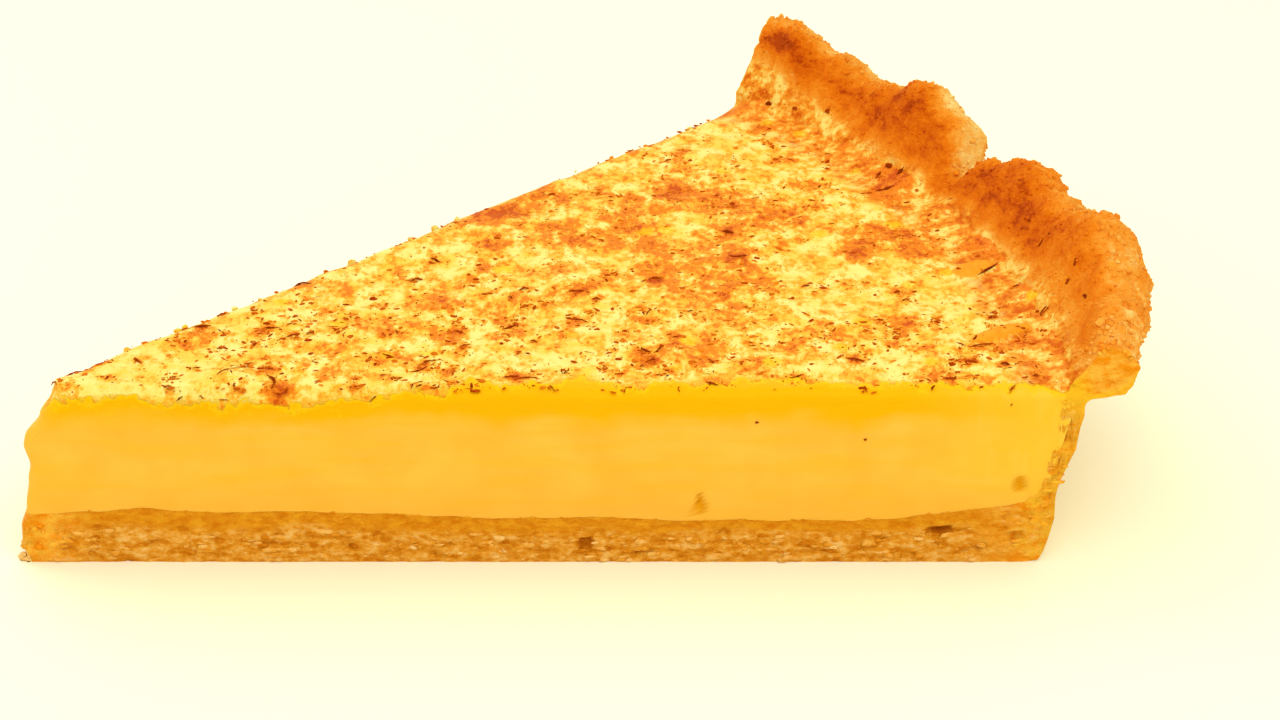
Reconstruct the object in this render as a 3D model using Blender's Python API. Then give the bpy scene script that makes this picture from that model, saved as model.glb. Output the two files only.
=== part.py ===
"""A slice of baked custard tart, an eighth of a tart from a ruffled dish, with its cut sides open.

Two pieces make it: the pastry case, which is floor, wall and ruffled rim in one, and the custard set in it, with
its grated nutmeg baked into the top. Sizes are in metres, up is +Z, and the cut side that faces -Y is the one that
shows. The slice is first laid out round the centre of its tart, which is the point of the wedge, and then moved so
that the origin is under the middle of its box.
"""

import math
import random

import bmesh
import bpy
from mathutils import Matrix, Vector, noise
from mathutils.bvhtree import BVHTree

MM = 0.001

# The slice
SLICE_ANGLE = math.radians(45)
CUSTARD_TOP = 20.7 * MM
FLOOR_THICKNESS = 5.4 * MM
CLEARANCE = 0.3 * MM

# The pastry wall, as (radius, height) down its two sides, from the floor's edge to the throat under the rim
WALL_OUTSIDE = ((102, 0), (107.5, 0), (108.7, 0.9), (109.5, 4.2), (110.5, 9.6), (111.3, 13.8), (111.8, 17.2))
WALL_INSIDE = ((101.5, 5.4), (105.0, 6.0), (107.3, 7.7), (108.3, 10), (108.8, 13.4), (109.2, 16.6), (109.7, 19.2))

# The ruffled rim: angle in degrees, height of the crest over the custard, outer radius
RIM_STATIONS = (
    (0, 4.8, 117.0),
    (3, 6.5, 118.4),
    (6, 6.3, 120.4),
    (8, 7.5, 122.0),
    (11, 9.4, 122.0),
    (14, 7.2, 121.2),
    (17, 6.9, 120.6),
    (20, 7.8, 121.4),
    (23, 5.7, 118.5),
    (25.6, 1.9, 116.7),
    (28, 7.3, 120.7),
    (31, 9.7, 119.8),
    (34, 6.7, 120.6),
    (37, 5.6, 121.1),
    (39.5, 7.3, 120.8),
    (42, 9.8, 118.9),
    (45, 9.6, 120.2),
)
RIM_THROAT = 112.1 * MM
RIM_FOOT = 18.8 * MM
RIM_SLOPE_START = 110.1 * MM
RAGGED_EDGE = 0.35 * MM
RIM_LUMPS = 0.3 * MM

# The point of the wedge: height, radius that rounds it off at that height
POINT_STATIONS = ((0, 0.3), (2.1, 0.25), (5.4, 0.6), (7.6, 0.9), (11.8, 1.35), (16, 0.75), (19.8, 2.5), (22, 3.3))

# The custard
TOP_LUMPS = 0.42 * MM
TOP_SWELLS = 0.3 * MM
WALL_CREEP = 0.5 * MM
POINT_DROP = 0.3 * MM
FAR_EDGE_DROP = 0.95 * MM
FAR_EDGE_WIDTH = 3.0 * MM
SKIN_DEPTH = 1.3 * MM
SKIN_OVERHANG = 0.28 * MM
CUT_WAVES = 0.14 * MM
CRUMB_RELIEF = 0.42 * MM

# Pits that show in the near cut: radius out, height, half width, half height, depth
CUSTARD_PITS = ((72.1, 6.9, 0.95, 1.1, 1.2), (105.7, 9.9, 0.75, 1.2, 1.3))
PASTRY_PITS = ((60.0, 2.2, 0.7, 0.75, 0.9), (97.4, 3.5, 1.35, 0.5, 0.9), (105.6, 3.2, 0.7, 0.5, 0.8))

# Nutmeg
NUTMEG_SEED = 45
SHRED_COUNT = 54
GRAIN_COUNT = 32
SHRED_LENGTH = (1.8 * MM, 3.6 * MM)
SHRED_WIDTH = 0.62 * MM
SHRED_HEIGHT = 0.5 * MM
GRAIN_SIZE = (0.55 * MM, 0.85 * MM)
NUTMEG_SPACING = 3.6 * MM
NUTMEG_MARGIN = 2.6 * MM
NUTMEG_LIFT = 0.06 * MM

# Mesh steps
FLOOR_STEPS = 64
WALL_STEPS = 2
PASTRY_LAYERS = 4
PASTRY_ANGLES = 36
CUSTARD_STEPS = 52
CUSTARD_LAYERS = 7
CUSTARD_ANGLES = 17


def clear_scene():
    for thing in list(bpy.data.objects):
        bpy.data.objects.remove(thing)


def make_material(name, colour, roughness):
    material = bpy.data.materials.new(name)
    material.use_nodes = True
    surface = material.node_tree.nodes["Principled BSDF"]
    surface.inputs["Base Color"].default_value = (*colour, 1)
    surface.inputs["Roughness"].default_value = roughness
    surface.inputs["Metallic"].default_value = 0
    return material


def smooth_step(share):
    share = min(1.0, max(0.0, share))
    return share * share * (3 - 2 * share)


def through_stations(stations, position):
    """The values at a position on a curve through the stations, level at each one."""
    if position <= stations[0][0]:
        return stations[0][1:]
    for before, after in zip(stations, stations[1:]):
        if position <= after[0]:
            share = smooth_step((position - before[0]) / (after[0] - before[0]))
            return tuple(a + (b - a) * share for a, b in zip(before[1:], after[1:]))
    return stations[-1][1:]


def ripple(point, wavelength, offset=0.0):
    """Smooth noise from -1 to 1 whose bumps are about a wavelength across."""
    return noise.noise(Vector(point) / wavelength + Vector((offset, -offset, 2 * offset)))


def curve_through(points, steps):
    """Points on a Catmull-Rom curve, with so many steps from each given point to the next."""
    ends = [points[0] * 2 - points[1], *points, points[-1] * 2 - points[-2]]
    curve = []
    for a, b, c, d in zip(ends, ends[1:], ends[2:], ends[3:]):
        for step in range(steps):
            t = step / steps
            curve.append(
                (b * 2 + (c - a) * t + (a * 2 - b * 5 + c * 4 - d) * t**2 + (b * 3 - a - c * 3 + d) * t**3) / 2
            )
    return [*curve, points[-1]]


def point_radius(height):
    """How far the wedge's point is rounded off at a height."""
    return through_stations(POINT_STATIONS, height / MM)[0] * MM


def start_radius(angle, height):
    """Where a ray from the tart's centre first meets the rounded point, a circle that touches both cuts."""
    rounding = point_radius(height)
    away = angle - SLICE_ANGLE / 2
    to_centre = rounding / math.sin(SLICE_ANGLE / 2)
    across = max(0.0, rounding**2 - (to_centre * math.sin(away)) ** 2)
    return to_centre * math.cos(away) - math.sqrt(across)


def rim_section(angle):
    """The rim's two sides at an angle, as lists of (radius, height): its underside, and its slope, crest and brow."""
    crest_height, outer_radius = through_stations(RIM_STATIONS, math.degrees(angle))
    crest = CUSTARD_TOP + crest_height * MM
    outer = outer_radius * MM
    along = outer * angle
    outer += RAGGED_EDGE * (ripple((along, 0, 0), 3.1 * MM, 0.3) + 0.7 * ripple((along, 0, 0), 1.6 * MM, 0.9))
    crest += RIM_LUMPS * ripple((along, 0, 0), 3.2 * MM, 0.6)
    foot = RIM_FOOT + 0.1 * (crest - CUSTARD_TOP)
    rise = crest - foot
    width = outer - RIM_THROAT
    slope_width = outer - RIM_SLOPE_START
    slope_rise = crest - CUSTARD_TOP
    underside = (
        (RIM_THROAT, foot),
        (RIM_THROAT + 0.4 * width, foot + 0.08 * rise),
        (RIM_THROAT + 0.78 * width, foot + 0.15 * rise),
        (RIM_THROAT + 0.95 * width, foot + 0.3 * rise),
        (outer, foot + 0.55 * rise),
    )
    topside = (
        (RIM_SLOPE_START, CUSTARD_TOP + 0.08 * slope_rise),
        (RIM_SLOPE_START + 0.22 * slope_width, CUSTARD_TOP + 0.45 * slope_rise),
        (RIM_SLOPE_START + 0.47 * slope_width, CUSTARD_TOP + 0.92 * slope_rise),
        (RIM_SLOPE_START + 0.7 * slope_width, crest),
        (RIM_SLOPE_START + 0.92 * slope_width, foot + 0.84 * rise),
    )
    return underside, topside


def pastry_sides(angle):
    """The outer and inner side of the pastry past its floor, point against point, as curves of (radius, height)."""
    underside, topside = rim_section(angle)
    outside = [Vector((r * MM, z * MM)) for r, z in WALL_OUTSIDE] + [Vector(p) for p in underside]
    inside = [Vector((r * MM, z * MM)) for r, z in WALL_INSIDE] + [Vector(p) for p in topside]
    outside = [Vector((p.x, max(0, p.y))) for p in curve_through(outside, WALL_STEPS)]
    inside = [Vector((p.x, max(FLOOR_THICKNESS, p.y))) for p in curve_through(inside, WALL_STEPS)]
    return outside, inside


def crumb(point, share_in):
    """How far a cut face of pastry stands out: flat flakes lying along the floor, none at its lower edge."""
    flakes = ripple((point.x, point.y, point.z * 2.4), 3.0 * MM, 1.7)
    grains = ripple(point, 1.5 * MM, 4.1)
    return CRUMB_RELIEF * (0.7 * flakes + 0.5 * grains) * math.sin(math.pi * min(1, max(0, share_in)))


def on_slice(radius, angle, height):
    return Vector((radius * math.cos(angle), radius * math.sin(angle), height))


def out_of_cut(angle):
    """The direction that a cut face looks in, at the near or the far cut, and None between them."""
    if angle <= 0:
        return Vector((0, -1, 0))
    if angle >= SLICE_ANGLE:
        return Vector((-math.sin(SLICE_ANGLE), math.cos(SLICE_ANGLE), 0))
    return None


def box_skin(name, counts, place, material):
    """A closed object made of the six faces of a grid box, each grid point being where place(i, j, k) puts it."""
    mesh = bmesh.new()
    corners = {}

    def corner(index):
        if index not in corners:
            corners[index] = mesh.verts.new(place(*index))
        return corners[index]

    for axis in range(3):
        first, second = [other for other in range(3) if other != axis]
        for level in (0, counts[axis]):
            for i in range(counts[first]):
                for j in range(counts[second]):
                    face = []
                    for di, dj in ((0, 0), (1, 0), (1, 1), (0, 1)):
                        index = [level] * 3
                        index[first] = i + di
                        index[second] = j + dj
                        face.append(corner(tuple(index)))
                    mesh.faces.new(face)
    bmesh.ops.recalc_face_normals(mesh, faces=mesh.faces)
    data = bpy.data.meshes.new(name)
    mesh.to_mesh(data)
    mesh.free()
    data.materials.append(material)
    made = bpy.data.objects.new(name, data)
    bpy.context.collection.objects.link(made)
    return made


def flatten_plane(made, height):
    """Joins the faces that lie in one level plane, so that it costs few triangles."""
    mesh = bmesh.new()
    mesh.from_mesh(made.data)
    level = [f for f in mesh.faces if all(abs(v.co.z - height) < 1e-7 for v in f.verts)]
    inner = [e for e in {e for f in level for e in f.edges} if all(f in level for f in e.link_faces)]
    bmesh.ops.dissolve_edges(mesh, edges=inner, use_verts=False)
    loose = [v for v in mesh.verts if not v.link_faces]
    bmesh.ops.delete(mesh, geom=loose, context="VERTS")
    mesh.to_mesh(made.data)
    mesh.free()


def make_pastry(material):
    """The pastry case: a strip that runs out along the floor, up the wall and over the rim, swept round the slice."""
    angles = [SLICE_ANGLE * k / PASTRY_ANGLES for k in range(PASTRY_ANGLES + 1)]
    sides = [pastry_sides(angle) for angle in angles]
    strip_steps = FLOOR_STEPS + len(sides[0][0]) - 1

    def place(i, j, k):
        angle = angles[k]
        layer = j / PASTRY_LAYERS
        if i < FLOOR_STEPS:
            height = layer * FLOOR_THICKNESS
            start = start_radius(angle, height)
            end = sides[k][0][0].x * (1 - layer) + sides[k][1][0].x * layer
            point = on_slice(start + (end - start) * i / FLOOR_STEPS, angle, height)
        else:
            outside, inside = (side[i - FLOOR_STEPS] for side in sides[k])
            radius, height = outside.lerp(inside, layer)
            point = on_slice(radius, angle, height)
            in_rim = smooth_step((height - CUSTARD_TOP) / (2 * MM))
            if i < strip_steps and j in (0, PASTRY_LAYERS):
                point.z += in_rim * RIM_LUMPS * ripple(point, 2.7 * MM, 2.2)
        facing = out_of_cut(angle)
        if facing:
            point += facing * crumb(point, layer)
        return point

    pastry = box_skin("pastry_case", (strip_steps, PASTRY_LAYERS, PASTRY_ANGLES), place, material)
    flatten_plane(pastry, 0)
    flatten_plane(pastry, FLOOR_THICKNESS)
    return pastry


def custard_end(height):
    """The custard's outer radius at a height, just clear of the wall's inner side."""
    inside = pastry_sides(0)[1]
    for low, high in zip(inside, inside[1:]):
        if low.y <= height <= high.y:
            share = (height - low.y) / max(1e-9, high.y - low.y)
            return low.x + (high.x - low.x) * share - CLEARANCE
    return RIM_SLOPE_START - 1.2 * MM - CLEARANCE


def custard_surface(point, radius):
    """The height of the custard's baked top: lumpy, crept up the wall, and sunk at the point and the far cut."""
    height = CUSTARD_TOP
    height += TOP_SWELLS * ripple((point.x, point.y, 0), 11 * MM, 0.5)
    height += TOP_LUMPS * ripple((point.x, point.y, 0), 4.4 * MM, 3.3)
    height += WALL_CREEP * smooth_step((radius - 105 * MM) / (5 * MM))
    height -= POINT_DROP * (1 - smooth_step(radius / (20 * MM)))
    to_far_cut = point.x * math.sin(SLICE_ANGLE) - point.y * math.cos(SLICE_ANGLE)
    return height - FAR_EDGE_DROP * (1 - smooth_step(to_far_cut / FAR_EDGE_WIDTH))


def make_custard(material):
    """The custard: a wedge whose bottom edge follows the wall, with a lumpy top and a skin that laps over its cuts."""
    floor = FLOOR_THICKNESS + CLEARANCE
    angles = [SLICE_ANGLE * k / CUSTARD_ANGLES for k in range(CUSTARD_ANGLES + 1)]
    ends = {}

    def place(i, j, k):
        angle = angles[k]
        layer = j / CUSTARD_LAYERS
        level = floor + (CUSTARD_TOP - floor) * layer
        if j not in ends:
            ends[j] = custard_end(level)
        start = start_radius(angle, level + layer * SKIN_DEPTH)
        radius = start + (ends[j] - start) * i / CUSTARD_STEPS
        point = on_slice(radius, angle, level)
        point.z += (custard_surface(point, radius) - CUSTARD_TOP) * layer**2
        facing = out_of_cut(angle)
        if facing and j > 0:
            in_skin = smooth_step((level - CUSTARD_TOP + SKIN_DEPTH) / SKIN_DEPTH)
            ragged = 0.5 + ripple((point.x, point.y, 0), 2.6 * MM, 5.1)
            point += facing * (CUT_WAVES * ripple(point, 7 * MM, 1.1) + SKIN_OVERHANG * in_skin * ragged)
        return point

    custard = box_skin("custard", (CUSTARD_STEPS, CUSTARD_LAYERS, CUSTARD_ANGLES), place, material)
    flatten_plane(custard, floor)
    return custard


def ellipsoid(name, at, half_sizes):
    mesh = bmesh.new()
    bmesh.ops.create_icosphere(mesh, subdivisions=2, radius=1)
    bmesh.ops.transform(mesh, matrix=Matrix.Diagonal((*half_sizes, 1)), verts=mesh.verts)
    bmesh.ops.translate(mesh, vec=at, verts=mesh.verts)
    data = bpy.data.meshes.new(name)
    mesh.to_mesh(data)
    mesh.free()
    return bpy.data.objects.new(name, data)


def apply_boolean(target, parts, operation):
    """Joins or cuts the target with all the parts in one step, and then removes the parts."""
    group = bpy.data.collections.new("parts of " + target.name)
    bpy.context.scene.collection.children.link(group)
    for part in parts:
        group.objects.link(part)
    change = target.modifiers.new("Boolean", "BOOLEAN")
    change.operand_type = "COLLECTION"
    change.collection = group
    change.operation = operation
    change.solver = "EXACT"
    bpy.context.view_layer.update()
    graph = bpy.context.evaluated_depsgraph_get()
    done = bpy.data.meshes.new_from_object(target.evaluated_get(graph))
    target.modifiers.remove(change)
    target.data = done
    for part in list(group.objects):
        bpy.data.objects.remove(part)
    bpy.data.collections.remove(group)


def cut_pits(target, pits):
    """Small hollows in the near cut, where a bubble or a lost crumb left one."""
    cutters = []
    for number, (radius, height, half_width, half_height, depth) in enumerate(pits):
        at = Vector((radius * MM, 0, height * MM))
        cutters.append(ellipsoid(f"pit {number}", at, (half_width * MM, depth * MM, half_height * MM)))
    apply_boolean(target, cutters, "DIFFERENCE")


def nutmeg_places():
    """Where the larger bits of nutmeg lie, as (radius, angle), spread evenly and well inside the custard's top."""
    draw = random.Random(NUTMEG_SEED)
    places = []
    reach = RIM_SLOPE_START - 2 * NUTMEG_MARGIN
    while len(places) < SHRED_COUNT + GRAIN_COUNT:
        radius = reach * math.sqrt(draw.random())
        angle = SLICE_ANGLE * draw.random()
        to_cuts = min(radius * math.sin(angle), radius * math.sin(SLICE_ANGLE - angle))
        if to_cuts < NUTMEG_MARGIN or radius < 4 * NUTMEG_MARGIN:
            continue
        point = on_slice(radius, angle, 0)
        if all((point - on_slice(*other, 0)).length > NUTMEG_SPACING for other in places):
            places.append((radius, angle))
    return places


def make_shred(name, at, draw):
    """A curl of grated nutmeg: a bent strip with a diamond section, tapered to both ends and half sunk in the top."""
    length = draw.uniform(*SHRED_LENGTH)
    heading = draw.uniform(0, math.tau)
    bend = draw.uniform(-1.6, 1.6)
    mesh = bmesh.new()
    rings = []
    spot = Vector((0, 0, 0))
    segments = 3
    for step in range(segments + 1):
        turn = heading + bend * (step / segments - 0.5)
        along = Vector((math.cos(turn), math.sin(turn), 0))
        across = Vector((-along.y, along.x, 0))
        fullness = 0.45 + 0.55 * math.sin(math.pi * step / segments)
        half_width = across * (SHRED_WIDTH / 2 * fullness)
        half_height = Vector((0, 0, SHRED_HEIGHT / 2 * (0.6 + 0.4 * fullness)))
        middle = at + spot
        rings.append([mesh.verts.new(middle + v) for v in (half_width, half_height, -half_width, -half_height)])
        spot += along * (length / segments)
    for one, two in zip(rings, rings[1:]):
        for side in range(4):
            after = (side + 1) % 4
            mesh.faces.new((one[side], one[after], two[after], two[side]))
    mesh.faces.new(rings[0])
    mesh.faces.new(reversed(rings[-1]))
    bmesh.ops.recalc_face_normals(mesh, faces=mesh.faces)
    centre = sum((v.co for v in mesh.verts), Vector()) / len(mesh.verts)
    bmesh.ops.translate(mesh, vec=at - centre, verts=mesh.verts)
    data = bpy.data.meshes.new(name)
    mesh.to_mesh(data)
    mesh.free()
    return bpy.data.objects.new(name, data)


def make_grain(name, at, draw):
    """A crumb of nutmeg: a squashed ball of twenty faces."""
    size = draw.uniform(*GRAIN_SIZE)
    mesh = bmesh.new()
    bmesh.ops.create_icosphere(mesh, subdivisions=1, radius=size)
    turn = Matrix.Rotation(draw.uniform(0, math.tau), 4, "Z")
    squash = Matrix.Diagonal((1, draw.uniform(0.55, 0.8), 0.6, 1))
    bmesh.ops.transform(mesh, matrix=Matrix.Translation(at) @ turn @ squash, verts=mesh.verts)
    data = bpy.data.meshes.new(name)
    mesh.to_mesh(data)
    mesh.free()
    return bpy.data.objects.new(name, data)


def add_nutmeg(custard):
    """Fuses the larger bits of nutmeg to the custard's top, each lying half sunk where it lands."""
    draw = random.Random(NUTMEG_SEED + 1)
    bpy.context.view_layer.update()
    top = BVHTree.FromObject(custard, bpy.context.evaluated_depsgraph_get())
    bits = []
    for number, (radius, angle) in enumerate(nutmeg_places()):
        at = top.ray_cast(on_slice(radius, angle, 2 * CUSTARD_TOP), Vector((0, 0, -1)))[0]
        at.z += NUTMEG_LIFT
        make = make_shred if number < SHRED_COUNT else make_grain
        bits.append(make(f"nutmeg {number}", at, draw))
    apply_boolean(custard, bits, "UNION")


def centre_on_floor(things):
    """Moves the meshes so that the origin is on the floor under the middle of their box."""
    points = [v.co for thing in things for v in thing.data.vertices]
    low = Vector(min(p[axis] for p in points) for axis in range(3))
    high = Vector(max(p[axis] for p in points) for axis in range(3))
    shift = Vector((-(low.x + high.x) / 2, -(low.y + high.y) / 2, -low.z))
    for thing in things:
        thing.data.transform(Matrix.Translation(shift))


def main():
    clear_scene()
    baked_pastry = make_material("baked pastry", (0.80, 0.42, 0.10), 0.75)
    baked_custard = make_material("baked custard", (0.95, 0.60, 0.10), 0.45)
    pastry = make_pastry(baked_pastry)
    cut_pits(pastry, PASTRY_PITS)
    custard = make_custard(baked_custard)
    cut_pits(custard, CUSTARD_PITS)
    add_nutmeg(custard)
    centre_on_floor((pastry, custard))


main()
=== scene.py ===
# A slice of baked custard tart. Shortcrust is pressed into a ruffled dish, filled with egg custard, grated
# over with nutmeg and baked until the skin is freckled and the rim toasted. A knife cuts the slice out and
# leaves two open sides, smooth and wet in the custard and crumbly in the pastry.
import math

import bpy
import numpy as np
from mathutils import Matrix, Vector


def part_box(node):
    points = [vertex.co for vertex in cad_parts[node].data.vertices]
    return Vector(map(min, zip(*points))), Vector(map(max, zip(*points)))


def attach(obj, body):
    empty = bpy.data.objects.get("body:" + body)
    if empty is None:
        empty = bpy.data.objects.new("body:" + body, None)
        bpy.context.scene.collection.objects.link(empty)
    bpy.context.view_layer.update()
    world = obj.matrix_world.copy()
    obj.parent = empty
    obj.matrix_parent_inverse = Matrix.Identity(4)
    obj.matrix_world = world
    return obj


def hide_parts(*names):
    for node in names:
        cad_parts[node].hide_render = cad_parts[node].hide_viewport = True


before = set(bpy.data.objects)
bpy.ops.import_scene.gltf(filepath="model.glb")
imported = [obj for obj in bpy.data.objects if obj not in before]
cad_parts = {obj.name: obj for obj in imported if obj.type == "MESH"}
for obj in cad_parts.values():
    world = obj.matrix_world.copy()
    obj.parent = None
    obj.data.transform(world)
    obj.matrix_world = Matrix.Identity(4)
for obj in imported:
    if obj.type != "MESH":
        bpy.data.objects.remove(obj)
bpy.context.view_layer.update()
MM = 0.001


# The camera stands a third of a metre in front of the near cut and looks down on the slice. Everything is
# laid out from the wedge's point, the centre of the whole tart, just outside the solid's rounded corner.
POINT_FROM_CORNER = np.array((-0.37, 0.20, 0)) * MM
pastry_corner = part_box("pastry_case")[0]
POINT = np.array((pastry_corner.x, pastry_corner.y, 0)) + POINT_FROM_CORNER
LOOK_DOWN = math.radians(27.21)
LOOK_AT = POINT + np.array((65.76, 6.62, 20.71)) * MM
DISTANCE = 326.2 * MM
LENS = 87.3
SENSOR_WIDTH = 36
NEAREST_SEEN = 10 * MM

camera = bpy.data.objects.new("camera", bpy.data.cameras.new("camera"))
bpy.context.collection.objects.link(camera)
camera.data.lens = LENS
camera.data.sensor_width = SENSOR_WIDTH
camera.data.clip_start = NEAREST_SEEN
camera.location = LOOK_AT + DISTANCE * np.array((0, -math.cos(LOOK_DOWN), math.sin(LOOK_DOWN)))
camera.rotation_euler = (math.pi / 2 - LOOK_DOWN, 0, 0)
bpy.context.scene.camera = camera


# The pastry case is one sheet of shortcrust: a flat floor, a wall that leans out, and a rim crimped into
# ruffles. It is rolled out thick, and its cuts show flat torn flakes, darker where custard soaked in.
SLICE_ANGLE = math.radians(45)
CUSTARD_TOP = 20.7 * MM
FLOOR_THICKNESS = 5.4 * MM
FLOOR_WAVES = 0.2 * MM

# Distance from the wedge's point and height of the floor's top there, in mm
FLOOR_STATIONS = (
    (0, 5.8), (8, 6.2), (13, 6.5), (18, 6.2), (24, 6.1), (38, 6.0), (45, 5.7), (50, 5.4), (61, 5.4),
    (66, 5.3), (71, 5.1), (82, 5.1), (87, 5.0), (92, 5.3), (97, 5.9), (101.5, 6.5),
)

# Radius and height in mm, up the two sides of the wall
WALL_OUTSIDE = ((102, 0), (107, 0), (108.3, 0.9), (109.3, 4.6), (109.5, 8.6), (110.9, 12.8), (111.7, 17))
WALL_INSIDE = (
    (101.5, 6.5), (105, 7), (107.2, 8.1), (108.2, 10.2), (108.8, 13.4), (109.2, 16.6), (109.7, 19.2),
)

# Angle in degrees, height of the crest over the custard and outer radius in mm, round the rim
RIM_STATIONS = (
    (0, 4.8, 117.0), (3, 6.5, 118.4), (6, 6.3, 120.4), (8, 7.5, 122.0), (11, 9.4, 122.0),
    (14, 7.2, 121.2), (17, 6.9, 120.6), (20, 7.8, 121.4), (23, 5.7, 118.5), (25.6, 1.9, 116.7),
    (28, 7.3, 120.7), (31, 9.7, 119.8), (34, 6.7, 120.6), (37, 5.6, 121.1), (39.5, 7.3, 120.8),
    (42, 9.8, 118.9), (45, 9.6, 120.2),
)
RIM_THROAT = 112.1 * MM
RIM_FOOT = 18.8 * MM
RIM_SLOPE_START = 110.1 * MM
RAGGED_EDGE = 0.55 * MM
CREST_WAVES = 0.32 * MM
CREST_NICKS = 0.36 * MM
NOSE_BULGE = 0.35 * MM

# Corners of the rim's section: along its underside, as shares of the way out from the throat and up to the
# crest; up its slope, as shares of the way out and up from the custard's edge; and on its brow
RIM_UNDERSIDE = ((0, 0), (0.4, 0.08), (0.78, 0.15), (0.95, 0.3), (1, 0.55))
RIM_SLOPE = ((0, 0.08), (0.22, 0.45), (0.47, 0.92), (0.7, 1))
RIM_BROW = (0.92, 0.84)

# Places up a side, counted in its corners, where the rim, its crest and its brow are
RIM_PLACE = 7.0
CREST_PLACE = 9.0
BROW_PLACE = 11.0

# Angle in degrees, how toasted the band under the crest is, the place where it starts, and how toasted the
# crest and the brow outside it are
TOAST_STATIONS = (
    (0, 0.40, 8.1, 0.42, 0.40), (3, 0.60, 8.0, 0.45, 0.42), (9, 0.72, 8.0, 0.50, 0.42),
    (12, 0.82, 7.9, 0.52, 0.42), (15, 0.86, 7.8, 0.60, 0.42), (18, 0.88, 7.8, 0.74, 0.50),
    (21, 0.90, 7.8, 0.80, 0.56), (24, 0.84, 7.9, 0.74, 0.52), (26.5, 0.80, 7.9, 0.42, 0.18),
    (29, 0.88, 7.8, 0.50, 0.12), (31.5, 0.95, 7.8, 0.80, 0.22), (36, 0.88, 8.1, 0.62, 0.40),
    (39, 0.84, 8.3, 0.48, 0.38), (42, 0.98, 8.4, 0.46, 0.38), (43.5, 1.05, 8.4, 0.52, 0.38),
    (45, 0.75, 8.4, 0.42, 0.38),
)

# Height in mm and the radius that rounds the wedge's point there
POINT_STATIONS = (
    (0, 0.5), (2, 0.25), (4, 0.3), (6, 0.75), (9.9, 1.06), (11.8, 1.26), (14.9, 0.96), (16, 1.1),
    (18.5, 2.2), (20.7, 3.1), (22, 3.4),
)

# Where a crumb fell out of the near cut: radius and height, half width, half height and depth in mm
PASTRY_PITS = ((60.0, 2.2, 0.9, 0.75, 0.9), (97.4, 3.5, 1.5, 0.5, 0.9), (105.6, 3.2, 0.7, 0.5, 0.8))

FLOOR_STEPS = 360
WALL_STEPS = 35
RIM_STEPS = 110
PASTRY_LAYERS = 16
PASTRY_TURNS = 250
SHARP_ANGLE = math.radians(60)
STUDIO_LIGHT = 1.23

# Random slopes for the ripples, one at each point of a lattice that repeats, and where the tart lies in it
LATTICE = 32
LATTICE_START = 100
OFFSET_WAY = np.array((1.0, -1.7, 2.3))
SLOPES = np.random.default_rng(7).normal(size=(LATTICE, LATTICE, LATTICE, 3))
SLOPES /= np.linalg.norm(SLOPES, axis=-1, keepdims=True)


def ripple(points, size, offset=0.0):
    """Smooth noise, about -1 to 1: a random slope at each point of a lattice with cells of this size, where
    the eight slopes round a place are blended by 6t^5 - 15t^4 + 10t^3."""
    places = np.asarray(points) / size + offset * OFFSET_WAY + LATTICE_START
    cells = np.floor(places).astype(int)
    shares = places - cells
    blends = shares**3 * (shares * (6 * shares - 15) + 10)
    total = 0
    for corner in np.ndindex(2, 2, 2):
        index = (cells + corner) % LATTICE
        slope = SLOPES[index[..., 0], index[..., 1], index[..., 2]]
        weight = np.prod(np.where(corner, blends, 1 - blends), axis=-1)
        total = total + weight * np.sum(slope * (shares - corner), axis=-1)
    return 1.6 * total


def rise(value, start, end):
    """0 below start and 1 above end, along 3t^2 - 2t^3 between them."""
    share = np.clip((value - start) / (end - start), 0, 1)
    return share * share * (3 - 2 * share)


def between(start, end, share):
    """The value at a share of the way from start to end."""
    return start + (end - start) * share


def through_stations(stations, places):
    """The values at places along a row of stations, eased by 3t^2 - 2t^3 from each station to the next."""
    stations = np.array(stations, float)
    before = np.clip(np.searchsorted(stations[:, 0], places) - 1, 0, len(stations) - 2)
    share = rise(places, stations[before, 0], stations[before + 1, 0])[..., None]
    return stations[before, 1:] * (1 - share) + stations[before + 1, 1:] * share


def smooth_curves(corners, places):
    """Points on the Catmull-Rom curves through rows of corners, at places counted in corners along a row."""
    ends = 2 * corners[:, [0, -1]] - corners[:, [1, -2]]
    corners = np.concatenate([ends[:, :1], corners, ends[:, 1:]], axis=1)
    before = np.minimum(places.astype(int), corners.shape[1] - 4)
    t = (places - before)[:, None]
    a, b, c, d = (corners[:, before + step] for step in range(4))
    return (2 * b + (c - a) * t + (2 * a - 5 * b + 4 * c - d) * t**2 + (3 * b - a - 3 * c + d) * t**3) / 2


def start_radius(turn, height):
    """Where a ray from the tart's centre meets the wedge's rounded point, a circle touching both cuts."""
    rounding = through_stations(POINT_STATIONS, height / MM)[..., 0] * MM
    away = turn - SLICE_ANGLE / 2
    to_centre = rounding / math.sin(SLICE_ANGLE / 2)
    return to_centre * np.cos(away) - np.sqrt(np.maximum(0, rounding**2 - (to_centre * np.sin(away)) ** 2))


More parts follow.
